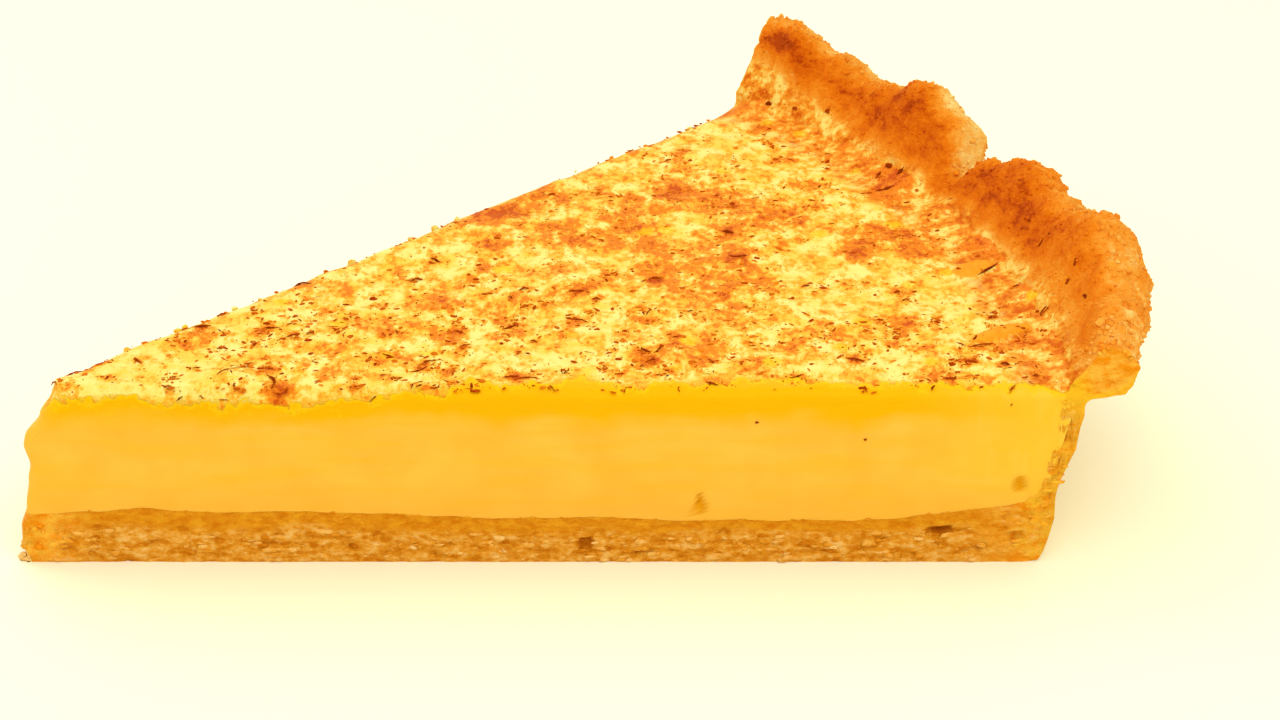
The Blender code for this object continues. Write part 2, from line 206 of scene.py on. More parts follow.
def rim_corners(turns):
    """Corners of the rim's section at each turn: out along its underside, and up its slope, over its crest
    to its brow. Both are shares of the crest's height and the brow's reach there, which have ragged edges."""
    crest_height, reach = through_stations(RIM_STATIONS, np.degrees(turns)).T
    along = np.stack([120 * MM * turns, 0 * turns, 0 * turns], axis=-1)
    outer = reach * MM + RAGGED_EDGE * (ripple(along, 3.1 * MM, 0.3) + 0.7 * ripple(along, 1.3 * MM, 0.9))
    crest = CUSTARD_TOP + crest_height * MM + CREST_WAVES * ripple(along, 3.2 * MM, 0.6)
    crest += CREST_NICKS * ripple(along, 1.5 * MM, 1.9)
    foot = RIM_FOOT + 0.1 * (crest - CUSTARD_TOP)
    underside = [(between(RIM_THROAT, outer, out), between(foot, crest, up)) for out, up in RIM_UNDERSIDE]
    start = RIM_SLOPE_START
    topside = [(between(start, outer, out), between(CUSTARD_TOP, crest, up)) for out, up in RIM_SLOPE]
    topside.append((between(start, outer, RIM_BROW[0]), between(foot, crest, RIM_BROW[1])))
    return np.moveaxis(np.array(underside), 2, 0), np.moveaxis(np.array(topside), 2, 0)


def case_sides(turns, places):
    """The wall and rim's outer and inner side at each turn: radius and height at matching places up them."""
    underside, topside = rim_corners(turns)
    sides = []
    for wall, rim, lowest in ((WALL_OUTSIDE, underside, 0), (WALL_INSIDE, topside, FLOOR_THICKNESS)):
        wall = np.broadcast_to(np.array(wall) * MM, (len(turns), len(wall), 2))
        side = smooth_curves(np.concatenate([wall, rim], axis=1), places)
        side[..., 1] = np.maximum(lowest, side[..., 1])
        sides.append(side)
    return sides


def floor_wave(points):
    """How far the floor's top lies over its thickness: its stations with slow and quick ripples on them."""
    level = points * (1, 1, 0)
    radius = np.hypot(points[..., 0], points[..., 1])
    wave = ripple(level, 7 * MM, 1.3) + 0.5 * ripple(level, 2 * MM, 2.9)
    lift = through_stations(FLOOR_STATIONS, radius / MM)[..., 0] * MM - FLOOR_THICKNESS
    return lift + FLOOR_WAVES * wave * rise(-radius, -101 * MM, -95 * MM)


def box_shell(counts, low_cap, high_cap):
    """The points on the six sides of a grid box, as their three indices, and the faces between them. So many
    steps of the lowest layer, and of the highest, are closed by one flat face each instead of a grid."""
    along, up, across = counts
    kept = np.zeros((along + 1, up + 1, across + 1), bool)
    kept[0] = kept[-1] = True
    kept[:, :, 0] = kept[:, :, -1] = True
    kept[low_cap:, 0] = True
    kept[high_cap:, -1] = True
    numbers = np.full(kept.shape, -1)
    numbers[kept] = np.arange(kept.sum())
    near, far = numbers[:, :, 0], numbers[:, :, -1].T
    low, high = numbers[low_cap:, 0].T, numbers[high_cap:, -1]
    faces = []
    for grid in (near, far, numbers[0], numbers[-1].T, low, high):
        corners = (grid[:-1, :-1], grid[1:, :-1], grid[1:, 1:], grid[:-1, 1:])
        faces += np.stack(corners, axis=-1).reshape(-1, 4).tolist()
    for cap, layer, turned in ((low_cap, 0, -1), (high_cap, -1, 1)):
        if cap:
            level = numbers[: cap + 1, layer]
            ring = [level[:, 0], level[-1, 1:], level[-2::-1, -1], level[0, -2:0:-1]]
            faces.append(np.concatenate(ring)[::turned].tolist())
    return np.nonzero(kept), faces


def pit_insides(radius, height, pits):
    """For each pit in a cut, 1 in its middle falling as 1 - x^2 - y^2 to 0 at its edge, and its depth."""
    for pit_radius, pit_height, half_width, half_height, depth in pits:
        across = (radius / MM - pit_radius) / half_width
        upward = (height / MM - pit_height) / half_height
        yield 1 - across**2 - upward**2, depth * MM


# Straight out of the near cut and of the far one
OUT_OF_NEAR = np.array((0, -1, 0))
OUT_OF_FAR = np.array((-math.sin(SLICE_ANGLE), math.cos(SLICE_ANGLE), 0))


def raise_cuts(points, relief, at_near, at_far):
    """Moves the points of the two cuts straight out of them by their relief."""
    points[at_near] += relief[at_near, None] * OUT_OF_NEAR
    points[at_far] += relief[at_far, None] * OUT_OF_FAR


def make_piece(name, points, faces, material, replaced, marks):
    """A closed mesh of the points, laid out from the wedge's point, with marks for its material to read."""
    mesh = bpy.data.meshes.new(name)
    mesh.from_pydata((points + POINT).tolist(), [], faces)
    for mark, values in marks.items():
        mesh.attributes.new(mark, "FLOAT", "POINT").data.foreach_set("value", values.astype(np.float32))
    mesh.shade_smooth()
    mesh.set_sharp_from_angle(angle=SHARP_ANGLE)
    mesh.materials.append(material)
    piece = bpy.data.objects.new(name, mesh)
    bpy.context.collection.objects.link(piece)
    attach(piece, "root")
    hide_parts(replaced)


def paint(red, green, blue):
    """A colour as the picture shows it, 0 to 255, turned into what a material takes in the studio's light."""
    shares = np.array((red, green, blue)) / 255
    linear = np.where(shares <= 0.04045, shares / 12.92, ((shares + 0.055) / 1.055) ** 2.4)
    return (*(linear / STUDIO_LIGHT).tolist(), 1)


def put(tree, socket, value):
    """Gives a socket its value, or links it to the node output that is given instead."""
    if isinstance(value, bpy.types.NodeSocket):
        tree.links.new(value, socket)
    else:
        socket.default_value = value


def add(tree, kind, settings=(), **inputs):
    """A new shader node with its settings, and its inputs by name, each a value or a node's output."""
    made = tree.nodes.new("ShaderNode" + kind)
    for name, value in dict(settings).items():
        setattr(made, name, value)
    for name, value in inputs.items():
        put(tree, made.inputs[name.replace("_", " ")], value)
    return made


def blended(tree, share, first, second):
    """The first colour where the share is 0, and the second where it is 1."""
    made = add(tree, "Mix", {"data_type": "RGBA"})
    for place, value in ((0, share), (6, first), (7, second)):
        put(tree, made.inputs[place], value)
    return made.outputs[2]


def figured(tree, operation, first, second=0.0, third=0.0):
    """One sum worked out at every place: two or three values, and the operation on them."""
    made = add(tree, "Math", {"operation": operation})
    for place, value in enumerate((first, second, third)):
        put(tree, made.inputs[place], value)
    return made.outputs[0]


def shifted(tree, value, noise, amount):
    """The value, raised by the amount where the noise is 1 and lowered by it where the noise is 0."""
    return figured(tree, "ADD", value, figured(tree, "MULTIPLY_ADD", noise, 2 * amount, -amount))


def ranged(tree, value, low, high, to_low=0.0, to_high=1.0):
    """to_low below low and to_high above high, eased by 3t^2 - 2t^3 between them."""
    made = add(tree, "MapRange", {"interpolation_type": "SMOOTHSTEP"}, Value=value)
    for place, edge in ((1, low), (2, high), (3, to_low), (4, to_high)):
        put(tree, made.inputs[place], edge)
    return made.outputs[0]


def over(tree, under, colour, mask, low, high, most=1.0):
    """A colour laid over the one under it, by a share of 0 to most as the mask goes from low to high."""
    return blended(tree, ranged(tree, mask, low, high, 0.0, most), under, colour)


def new_group(name, inputs, outputs):
    """An empty node group with its named inputs and outputs, as (name, kind) pairs."""
    group = bpy.data.node_groups.new(name, "ShaderNodeTree")
    for way, sockets in (("INPUT", inputs), ("OUTPUT", outputs)):
        for label, kind in sockets:
            group.interface.new_socket(label, in_out=way, socket_type="NodeSocket" + kind)
    return group, group.nodes.new("NodeGroupInput").outputs, group.nodes.new("NodeGroupOutput").inputs


def placed(tree, group, **inputs):
    """A node group placed in a material, with its own values."""
    made = tree.nodes.new("ShaderNodeGroup")
    made.node_tree = group
    for name, value in inputs.items():
        put(tree, made.inputs[name.replace("_", " ")], value)
    return made.outputs


# Soft clouds: noise of 0 to 1 in the piece's own coordinates
cloud_inputs = (("Frequency", "Vector"), ("Offset", "Vector"), ("Detail", "Float"), ("Roughness", "Float"))
cloud_group, given, result = new_group("clouds", cloud_inputs, (("Share", "Float"),))
place = add(cloud_group, "TexCoord").outputs["Object"]
moved = add(cloud_group, "Mapping", Vector=place, Scale=given["Frequency"], Location=given["Offset"])
cloud_noise = add(cloud_group, "TexNoise", Vector=moved.outputs[0], Scale=1.0)
for name in ("Detail", "Roughness"):
    put(cloud_group, cloud_noise.inputs[name], given[name])
put(cloud_group, result["Share"], cloud_noise.outputs["Fac"])


def clouds(tree, size, detail=2.0, stretch=(1, 1, 1), offset=0.0, roughness=0.5):
    """Clouds of this size across, longer or shorter by the stretch along x, y and z."""
    frequency = tuple(1 / (size * part) for part in stretch)
    moved = (offset, 2 * offset, -offset)
    made = placed(tree, cloud_group, Frequency=frequency, Offset=moved, Detail=detail, Roughness=roughness)
    return made["Share"]


def marked(tree, name):
    """A mark that the piece's mesh carries."""
    return add(tree, "Attribute", {"attribute_name": name}).outputs["Fac"]


def colours(tree, value, stops):
    """A ramp through the stops, each a place from 0 to 1 with its colour."""
    made = add(tree, "ValToRGB", Fac=value)
    ramp = made.color_ramp
    while len(ramp.elements) < len(stops):
        ramp.elements.new(0.5)
    for element, (place, colour) in zip(ramp.elements, stops):
        element.position = place
        element.color = colour
    return made.outputs[0]


def raised(tree, height, depth, strength=1.0):
    """The normal of a surface whose height goes from 0 to this depth."""
    return add(tree, "Bump", Height=height, Distance=depth, Strength=strength).outputs[0]


def new_finish(name, roughness, softness, soft_reach, gloss=0.08):
    """A material whose surface lets light in: softness is how much of it, soft_reach how far in mm."""
    material = bpy.data.materials.new(name)
    material.use_nodes = True
    tree = material.node_tree
    surface = tree.nodes["Principled BSDF"]
    for socket, value in (
        ("Roughness", roughness),
        ("Specular IOR Level", gloss),
        ("Specular Tint", (1.0, 0.7, 0.3, 1)),
        ("Subsurface Weight", softness),
        ("Subsurface Radius", (1.0, 0.9, 0.75)),
        ("Subsurface Scale", soft_reach * MM),
    ):
        surface.inputs[socket].default_value = value
    return material, tree, surface


# Freckles: where custard and crust meet, both are tan and orange in the same small soft patches
freckle_group, given, result = new_group("freckles", (("Warmth", "Float"),), (("Color", "Color"),))
freckle_patches = clouds(freckle_group, 2.6 * MM, 4.0, offset=14.0, roughness=0.62)
freckle_grain = clouds(freckle_group, 0.7 * MM, 3.0, offset=15.0, roughness=0.6)
freckle_share = shifted(freckle_group, freckle_patches, freckle_grain, 0.24)
freckle_share = figured(freckle_group, "ADD", freckle_share, given["Warmth"])
freckle_stops = (
    (0.36, paint(255, 228, 120)),
    (0.44, paint(253, 198, 84)),
    (0.5, paint(249, 168, 52)),
    (0.56, paint(242, 143, 33)),
    (0.67, paint(217, 98, 10)),
)
put(freckle_group, result["Color"], colours(freckle_group, freckle_share, freckle_stops))


def pastry_finish(name, softness, grain_depth):
    """Baked shortcrust: its crust goes from pale to brown by the toast mark, and is freckled by the custard.
    On its cuts the torn crumb goes from dark gaps to pale flakes, and is soaked, lit through or yolky.
    The dark gaps are painted shade, and the raised flakes are paler partly by their own colour and partly
    as painted light."""
    material, tree, surface = new_finish(name, 0.65, softness, 0.4, 0.04)
    mottle = clouds(tree, 1.7 * MM, 3.0, (1, 1, 0.6), 0.0, 0.6)
    grain = clouds(tree, 0.55 * MM, 3.0, (1, 1, 0.6), 3.0, 0.65)
    toast = shifted(tree, shifted(tree, marked(tree, "toast"), mottle, 0.32), grain, 0.22)
    crust_stops = (
        (0.0, paint(255, 219, 130)),
        (0.18, paint(252, 194, 96)),
        (0.36, paint(249, 164, 54)),
        (0.55, paint(243, 140, 28)),
        (0.74, paint(234, 120, 12)),
        (0.9, paint(216, 98, 8)),
        (1.0, paint(184, 70, 8)),
    )
    warmth = ranged(tree, marked(tree, "toast"), 0.15, 0.75, -0.04, 0.09)
    freckles = placed(tree, freckle_group, Warmth=warmth)["Color"]
    freckled = shifted(tree, marked(tree, "freckled"), mottle, 0.6)
    crust = over(tree, colours(tree, toast, crust_stops), freckles, freckled, 0.2, 0.8)
    flake_grain = clouds(tree, 0.5 * MM, 4.0, (1.9, 1.9, 1), 5.0, 0.65)
    # The torn colour follows the flake relief of the cut: darker down in the gaps as painted shade, and paler
    # on the raised flakes partly as painted light.
    broken = shifted(tree, marked(tree, "flakes"), flake_grain, 1.5)
    torn_stops = (
        (0.0, paint(198, 110, 10)),
        (0.3, paint(222, 140, 26)),
        (0.55, paint(236, 162, 52)),
        (0.8, paint(246, 186, 92)),
        (1.0, paint(250, 202, 120)),
    )
    torn = colours(tree, ranged(tree, broken, -1.1, 1.2), torn_stops)
    soaked = shifted(tree, mottle, flake_grain, 0.3)
    soaked = over(tree, paint(214, 122, 8), paint(240, 166, 32), soaked, 0.2, 0.8)
    torn = blended(tree, marked(tree, "soaked"), torn, soaked)
    lit = over(tree, paint(248, 148, 12), paint(255, 190, 66), mottle, 0.35, 0.65)
    yolk = shifted(tree, marked(tree, "yolk"), mottle, 0.5)
    torn = blended(tree, marked(tree, "glow"), torn, over(tree, lit, paint(255, 194, 36), yolk, 0.2, 0.9))
    put(tree, surface.inputs["Base Color"], blended(tree, marked(tree, "cut"), crust, torn))
    fine = figured(tree, "ADD", grain, clouds(tree, 0.22 * MM, 2.0, offset=7.0))
    put(tree, surface.inputs["Normal"], raised(tree, fine, grain_depth, 0.8))
    return material


# The case as a box of points: strips along the floor and up the side, layers through the crust, and turns
case_turns = np.linspace(0, SLICE_ANGLE, PASTRY_TURNS + 1)
wall_places = np.linspace(0, RIM_PLACE, WALL_STEPS + 1)
side_places = np.append(wall_places, np.linspace(RIM_PLACE, BROW_PLACE, RIM_STEPS + 1)[1:])
outer_sides, inner_sides = case_sides(case_turns, side_places)

pastry_counts = (FLOOR_STEPS + WALL_STEPS + RIM_STEPS, PASTRY_LAYERS, PASTRY_TURNS)
(strip, layer, turn), pastry_faces = box_shell(pastry_counts, FLOOR_STEPS, FLOOR_STEPS)
angle = case_turns[turn]
share = layer / PASTRY_LAYERS
in_floor = strip < FLOOR_STEPS
side_step = np.maximum(0, strip - FLOOR_STEPS)
place_up = side_places[side_step]
outer_point = outer_sides[turn, side_step]
inner_point = inner_sides[turn, side_step]
section = between(outer_point, inner_point, share[:, None])
nose = (place_up == BROW_PLACE) * np.sin(math.pi * share) * NOSE_BULGE
height = np.where(in_floor, share * FLOOR_THICKNESS, section[:, 1])
tip = start_radius(angle, height)
floor_end = between(WALL_OUTSIDE[0][0], WALL_INSIDE[0][0], share) * MM
radius = np.where(in_floor, between(tip, floor_end, strip / FLOOR_STEPS), section[:, 0] + nose)
points = np.stack([radius * np.cos(angle), radius * np.sin(angle), height], axis=-1)
points[:, 2] += in_floor * share * floor_wave(points)

# The cuts: flat flakes with grains on them and gaps under them, calmer where custard soaked in
at_near = turn == 0
at_far = turn == PASTRY_TURNS
at_cut = at_near | at_far
flakes = ripple(points * (0.5, 0.5, 1.8), 1.5 * MM, 1.7)
grains = ripple(points, 0.75 * MM, 4.1)
gaps = rise(-flakes + 0.4 * grains, 0.45, 0.85)
soak_edge = 3.1 * MM + 0.7 * MM * ripple(points * (0.4, 0.4, 0), 2.2 * MM, 2.7)
soaked = rise(height, soak_edge, soak_edge + 1.2 * MM) * rise(-radius, -106 * MM, -101 * MM) * at_cut
in_rim_cut = rise(height, 17 * MM, 20 * MM)
calm = 1 - 0.75 * soaked - 0.35 * in_rim_cut
relief = (0.22 * flakes + 0.15 * grains - 0.45 * gaps) * MM * calm * rise(height, -0.4 * MM, 0.4 * MM)
for inside, pit_depth in pit_insides(radius, height, PASTRY_PITS):
    relief -= at_near * pit_depth * np.sqrt(np.maximum(0, inside))
    # Inside a pit the flakes mark drops, which paints the pit darker: painted shade in the hollow
    flakes -= at_near * 1.5 * (inside > -0.1)
raise_cuts(points, relief, at_near, at_far)

# The crust: blisters and grit on the rim, and a rough wall
outward = np.stack([np.cos(angle), np.sin(angle), 0 * angle], axis=-1)
on_side = ~in_floor & ((layer == 0) | (layer == PASTRY_LAYERS) | (place_up == BROW_PLACE))
in_rim = rise(height, 18.5 * MM, 21 * MM)
grit = 0.4 * ripple(points, 2.4 * MM, 2.2) + 0.28 * ripple(points, 1.2 * MM, 5.2)
grit += 0.15 * ripple(points, 0.7 * MM, 8.2)
rough = grit * MM * (0.35 + 0.65 * in_rim) * on_side * rise(height, 0.2 * MM, 1.5 * MM)
upness = rise(place_up * (layer == PASTRY_LAYERS), 6.6, 8.2)
points += rough[:, None] * (outward * (1 - 0.7 * upness)[:, None] + (0, 0, 1) * upness[:, None])

# Toasting: a dark band on the slope under the crest, crest and brow golden, wall and lower slope pale
toast_angle = np.degrees(angle) + 0.9 * ripple(points, 3 * MM, 12.1)
band, band_start, crest_toast, brow_toast = through_stations(TOAST_STATIONS, toast_angle).T
band_start = band_start + 0.25 * ripple(points, 4 * MM, 3.3)
lower_toast = 0.3 + 0.2 * ripple(points, 4 * MM, 6.1) + 0.08 * rise(np.degrees(angle), 42.5, 45)
lower_toast += 0.12 * (1 - rise(np.degrees(angle), 3, 8))
slope_toast = between(lower_toast, band, rise(place_up, band_start - 0.9, band_start + 0.5))
slope_toast += (crest_toast - band) * rise(place_up, 8.6, 9.6)
slope_toast += (brow_toast - crest_toast) * rise(place_up, 9.5, 10.3)
wall_toast = 0.03 + 0.08 * ripple(points, 9 * MM, 2.1)
wall_toast = between(wall_toast, 0.5 * brow_toast + 0.2, rise(place_up, 8.5, 10.8))
toast = between(wall_toast, slope_toast, rise(share, 0.2, 0.8)) + 0.14 * ripple(points, 3 * MM, 9.1)
toast -= 0.16 * rise(ripple(points, 1.5 * MM, 5.7), 0.1, 0.6) * rise(place_up, 8.8, 9.8)
freckled = rise(share, 0.6, 0.95) * (1 - rise(place_up, band_start - 1.1, band_start + 0.3)) * ~in_floor

# On the cuts light comes through near the wall and the point, and yolk stains the rim's lower half
glow = np.maximum(rise(radius, 99 * MM, 107 * MM) * (0.7 + 0.5 * ripple(points, 2.5 * MM, 3.9)), in_rim_cut)
glow = np.maximum(glow, (1 - rise(radius, 2 * MM, 9 * MM)) * (0.8 + 0.5 * ripple(points, 2 * MM, 3.9)))
yolk = in_rim_cut * (1 - rise(radius + 0.4 * (height - 20 * MM), 110 * MM, 115 * MM))
yolk += 0.4 * (1 - rise(radius, 1 * MM, 8 * MM)) + 0.6 * in_rim_cut * (1 - rise(share, 0.05, 0.3))
yolk += 0.5 * rise(radius, 103 * MM, 107 * MM) * (1 - in_rim_cut)
pastry_marks = {
    "toast": toast,
    "freckled": freckled,
    # the flake relief, which the finish paints darker in the gaps as shade and paler on the flakes as light
    "flakes": flakes * 0.6 + grains * 0.4,
    "soaked": soaked,
    "glow": np.clip(glow, 0, 1) * at_cut,
    "yolk": np.clip(yolk, 0, 1),
    "cut": at_cut * 1.0,
}
pastry_points = points
shortcrust = pastry_finish("shortcrust", 0.06, 0.2 * MM)
make_piece("pastry", points, pastry_faces, shortcrust, "pastry_case", pastry_marks)


# Loose crumbs of the same shortcrust cling to the rim's crest and brow, to the wall, and to the torn cuts,
# where the flakes stand out flat. Each is a small uneven stone half sunk in the crust.
RIM_CRUMBS = 2400
RIM_CHIPS = 240
WALL_CRUMBS = 500
CUT_FLAKES = 800
JOINT_CHIPS = 26
RIM_CUT_CHIPS = 60
FLOOR_TOP_CHIPS = 150
FOOT_CRUMBS = 16
MIDDLING_CRUMB = 0.2
STONE_CORNERS = 12

# The larger chips that stand out of the rim: angle in degrees, place up the side and half length in mm
CHIPS = (
    (6.3, 10.7, 0.9), (6.9, 10.3, 0.6), (9.6, 9.9, 0.7), (12.4, 10.0, 0.6), (14.1, 9.9, 0.7),
    (15.2, 10.1, 0.5), (21.2, 9.9, 0.8), (22.6, 9.8, 0.7), (24.0, 9.8, 0.7), (2.2, 9.0, 0.45),
    (3.1, 8.4, 0.35), (1.2, 8.0, 0.4), (33.0, 10.0, 0.6), (37.5, 10.2, 0.5), (41.0, 10.2, 0.6),
)


def turned(points, heading):
    """The points, a row of them for each heading, turned about the upright by it."""
    cosine, sine = np.cos(heading)[:, None], np.sin(heading)[:, None]
    x, y, z = np.moveaxis(points, -1, 0)
    return np.stack([x * cosine - y * sine, x * sine + y * cosine, z], axis=-1)


def lumps(places, sizes, heading, stretch, upright, draw):
    """Uneven stones: an icosahedron at each place with its corners pushed in or out, its width and height
    shares of its length, turned to its heading."""
    gold = (1 + math.sqrt(5)) / 2
    corners = np.array([(side, end * gold, 0) for side in (-1, 1) for end in (-1, 1)])
    corners = np.concatenate([np.roll(corners, shift, axis=1) for shift in range(3)]) / math.hypot(1, gold)
    gap = np.linalg.norm(corners[:, None] - corners, axis=-1)
    touching = (gap > 0.1) & (gap < 1.1)
    a, b, c = np.nonzero(touching[:, :, None] & touching[:, None] & touching[None])
    ring = (a < b) & (a < c) & (np.linalg.det(corners[np.stack([a, b, c], axis=-1)]) > 0)
    faces = np.stack([a, b, c], axis=-1)[ring]
    shape = corners * draw.uniform(0.65, 1.2, (len(places), STONE_CORNERS, 1))
    shape = turned(shape * np.stack([0 * stretch + 1, stretch, upright], axis=-1)[:, None], heading)
    numbers = faces + STONE_CORNERS * np.arange(len(places))[:, None, None]
    return (places[:, None] + sizes[:, None, None] * shape).reshape(-1, 3), numbers.reshape(-1, 3).tolist()


def on_corners(values):
    """A value for each stone, given to all its corners."""
    return np.repeat(values, STONE_CORNERS)


# Which points of the pastry may carry each kind of crumb
off_cut = on_side & ~at_cut
on_wall = off_cut & (place_up < 8.6) & ((layer == 0) | (place_up > 7.2)) & (height > 1 * MM)
in_cut = at_cut & (layer > 0) & (layer < PASTRY_LAYERS)
in_torn_cut = in_cut & (height > 0.3 * MM) & (height < 12 * MM) & (soaked < 0.4)
at_joint = at_near & (layer > 12) & (place_up > 1) & (place_up < RIM_PLACE)
by_rim_cut = on_side & (turn < 14) & (layer == PASTRY_LAYERS) & (place_up > 7.1)
at_floor_top = at_cut & in_floor & (layer > 14) & (radius > 6 * MM)
in_foot = (radius < 2.6 * MM) & (height < 1.3 * MM)

crumb_draw = np.random.default_rng(31)
crumb_at = []
crumb_growth = []
for chosen, count, growth in (
    (off_cut & (place_up > 8.6), RIM_CRUMBS, 1.0),
    (off_cut & (place_up > 9.2), RIM_CHIPS, 2.1),
    (on_wall, WALL_CRUMBS, 1.0),
    (in_torn_cut, CUT_FLAKES, 2.8),
    (at_joint, JOINT_CHIPS, 1.4),
    (by_rim_cut, RIM_CUT_CHIPS, 1.7),
    (at_floor_top, FLOOR_TOP_CHIPS, 1.5),
    (in_foot, FOOT_CRUMBS, 2.2),
):
    crumb_at.append(crumb_draw.choice(np.nonzero(chosen)[0], count))
    crumb_growth.append(np.full(count, growth))

chip_angle, chip_place, chip_size = np.array(CHIPS).T[..., None]
off_chip = 20 * np.abs(np.degrees(angle) - chip_angle) + 10 * np.abs(place_up - chip_place)
off_chip += 99 * (layer < PASTRY_LAYERS)
crumb_at = np.concatenate(crumb_at + [np.argmin(off_chip, axis=1)])
crumb_growth = np.concatenate(crumb_growth + [chip_size[:, 0] / MIDDLING_CRUMB])

# Those on the torn cuts lie flat along them, and those at the foot have fallen a little out and down
count = len(crumb_at)
on_cut = at_cut[crumb_at] & (radius[crumb_at] < 112 * MM) & (radius[crumb_at] > 3.2 * MM)
sizes = crumb_draw.uniform(0.12, 0.34, count) * crumb_draw.uniform(0.6, 1.0, count) * MM * crumb_growth
along_cut = angle[crumb_at] + crumb_draw.normal(0, 0.2, count)
heading = np.where(on_cut, along_cut, crumb_draw.uniform(0, math.tau, count))
stretch = np.where(on_cut, 0.25, crumb_draw.uniform(0.6, 1.0, count))
lying = crumb_draw.uniform(0.3, 0.6, count)
upright = np.where(on_cut, lying, crumb_draw.uniform(0.6, 1.0, count))
fallen = in_foot[crumb_at]
spilled = fallen[:, None] * crumb_draw.uniform((-0.7, 0, -0.6), (0.3, 0.4, -0.2), (count, 3)) * MM
crumb_places = pastry_points[crumb_at] + spilled
crumb_points, crumb_faces = lumps(crumb_places, sizes, heading, stretch, upright, crumb_draw)
crumb_points[:, 2] = np.maximum(crumb_points[:, 2], 0)

crumb_marks = {name: on_corners(values[crumb_at]) for name, values in pastry_marks.items()}
crumb_marks["toast"] += on_corners(crumb_draw.uniform(-0.14, 0.12, count))
crumb_marks["freckled"] *= 0
crumb_marks["cut"] = np.maximum(crumb_marks["cut"], on_corners(fallen))
crumb_marks["glow"] *= on_corners(1 - 0.8 * fallen)
crumb_marks["yolk"] *= on_corners(1 - 0.8 * fallen)
crumb_marks["flakes"] += on_corners(crumb_draw.uniform(-0.5, 0.5, count) + 1.3 * fallen)
crumb_finish = pastry_finish("shortcrust crumbs", 0.0, 0.04 * MM)
make_piece(
    "pastry_crumbs", crumb_points, crumb_faces, crumb_finish, "pastry_case", crumb_marks
)


# The custard is egg and cream set in the case: smooth where the knife went, richer yellow just under its
# skin, and lit through near the wall. The baked skin is thin and matt, and orange where nutmeg stained it.
TOP_SWELLS = 0.19 * MM
TOP_LUMPS = 0.26 * MM
TOP_GRAIN = 0.09 * MM
WALL_CREEP = 0.16
POINT_DROP = 0.3 * MM
FAR_EDGE_DROP = 0.95 * MM
FAR_EDGE_WIDTH = 3.0 * MM
NEAR_EDGE_DROP = 0.35 * MM
EDGE_ROUNDING = 0.3 * MM
CUT_WAVES = 0.09 * MM
KNIFE_DRAG = 0.03 * MM
CUT_GRAIN = 0.05 * MM

# Where the skin stops: distance along the near cut and in from its edge, in mm, under the edge where below 0
SKIN_EDGE = (
    (0, -0.6), (12, -0.9), (28, -1.4), (36, -0.8), (43, 0.2), (46, 0.6), (48.5, 2.4), (51.5, 0.6),
    (56, 1.0), (59.5, 3.4), (63, 1.6), (66, 1.1), (72, 1.6), (77, 2.6), (81, 2.8), (86, 1.4), (90, 2.0),
    (95, 1.2), (101, 1.2), (105, 0.7), (109, 0.3),
)

# Blisters that rose and split in the skin: x and y of the middle in mm, heading in degrees, half length,
# half width and height
BLISTERS = ((104.2, 12.6, 24, 3.9, 1.5, 0.9), (102.6, 28.4, 30, 2.6, 1.8, 0.5))

# Pinholes in the near cut, where an air bubble was: radius and height, half width, half height, depth in mm
CUSTARD_PITS = ((72.1, 6.6, 0.85, 0.9, 0.45), (72.0, 7.7, 0.32, 0.9, 0.3), (105.6, 9.4, 0.75, 1.1, 0.45))

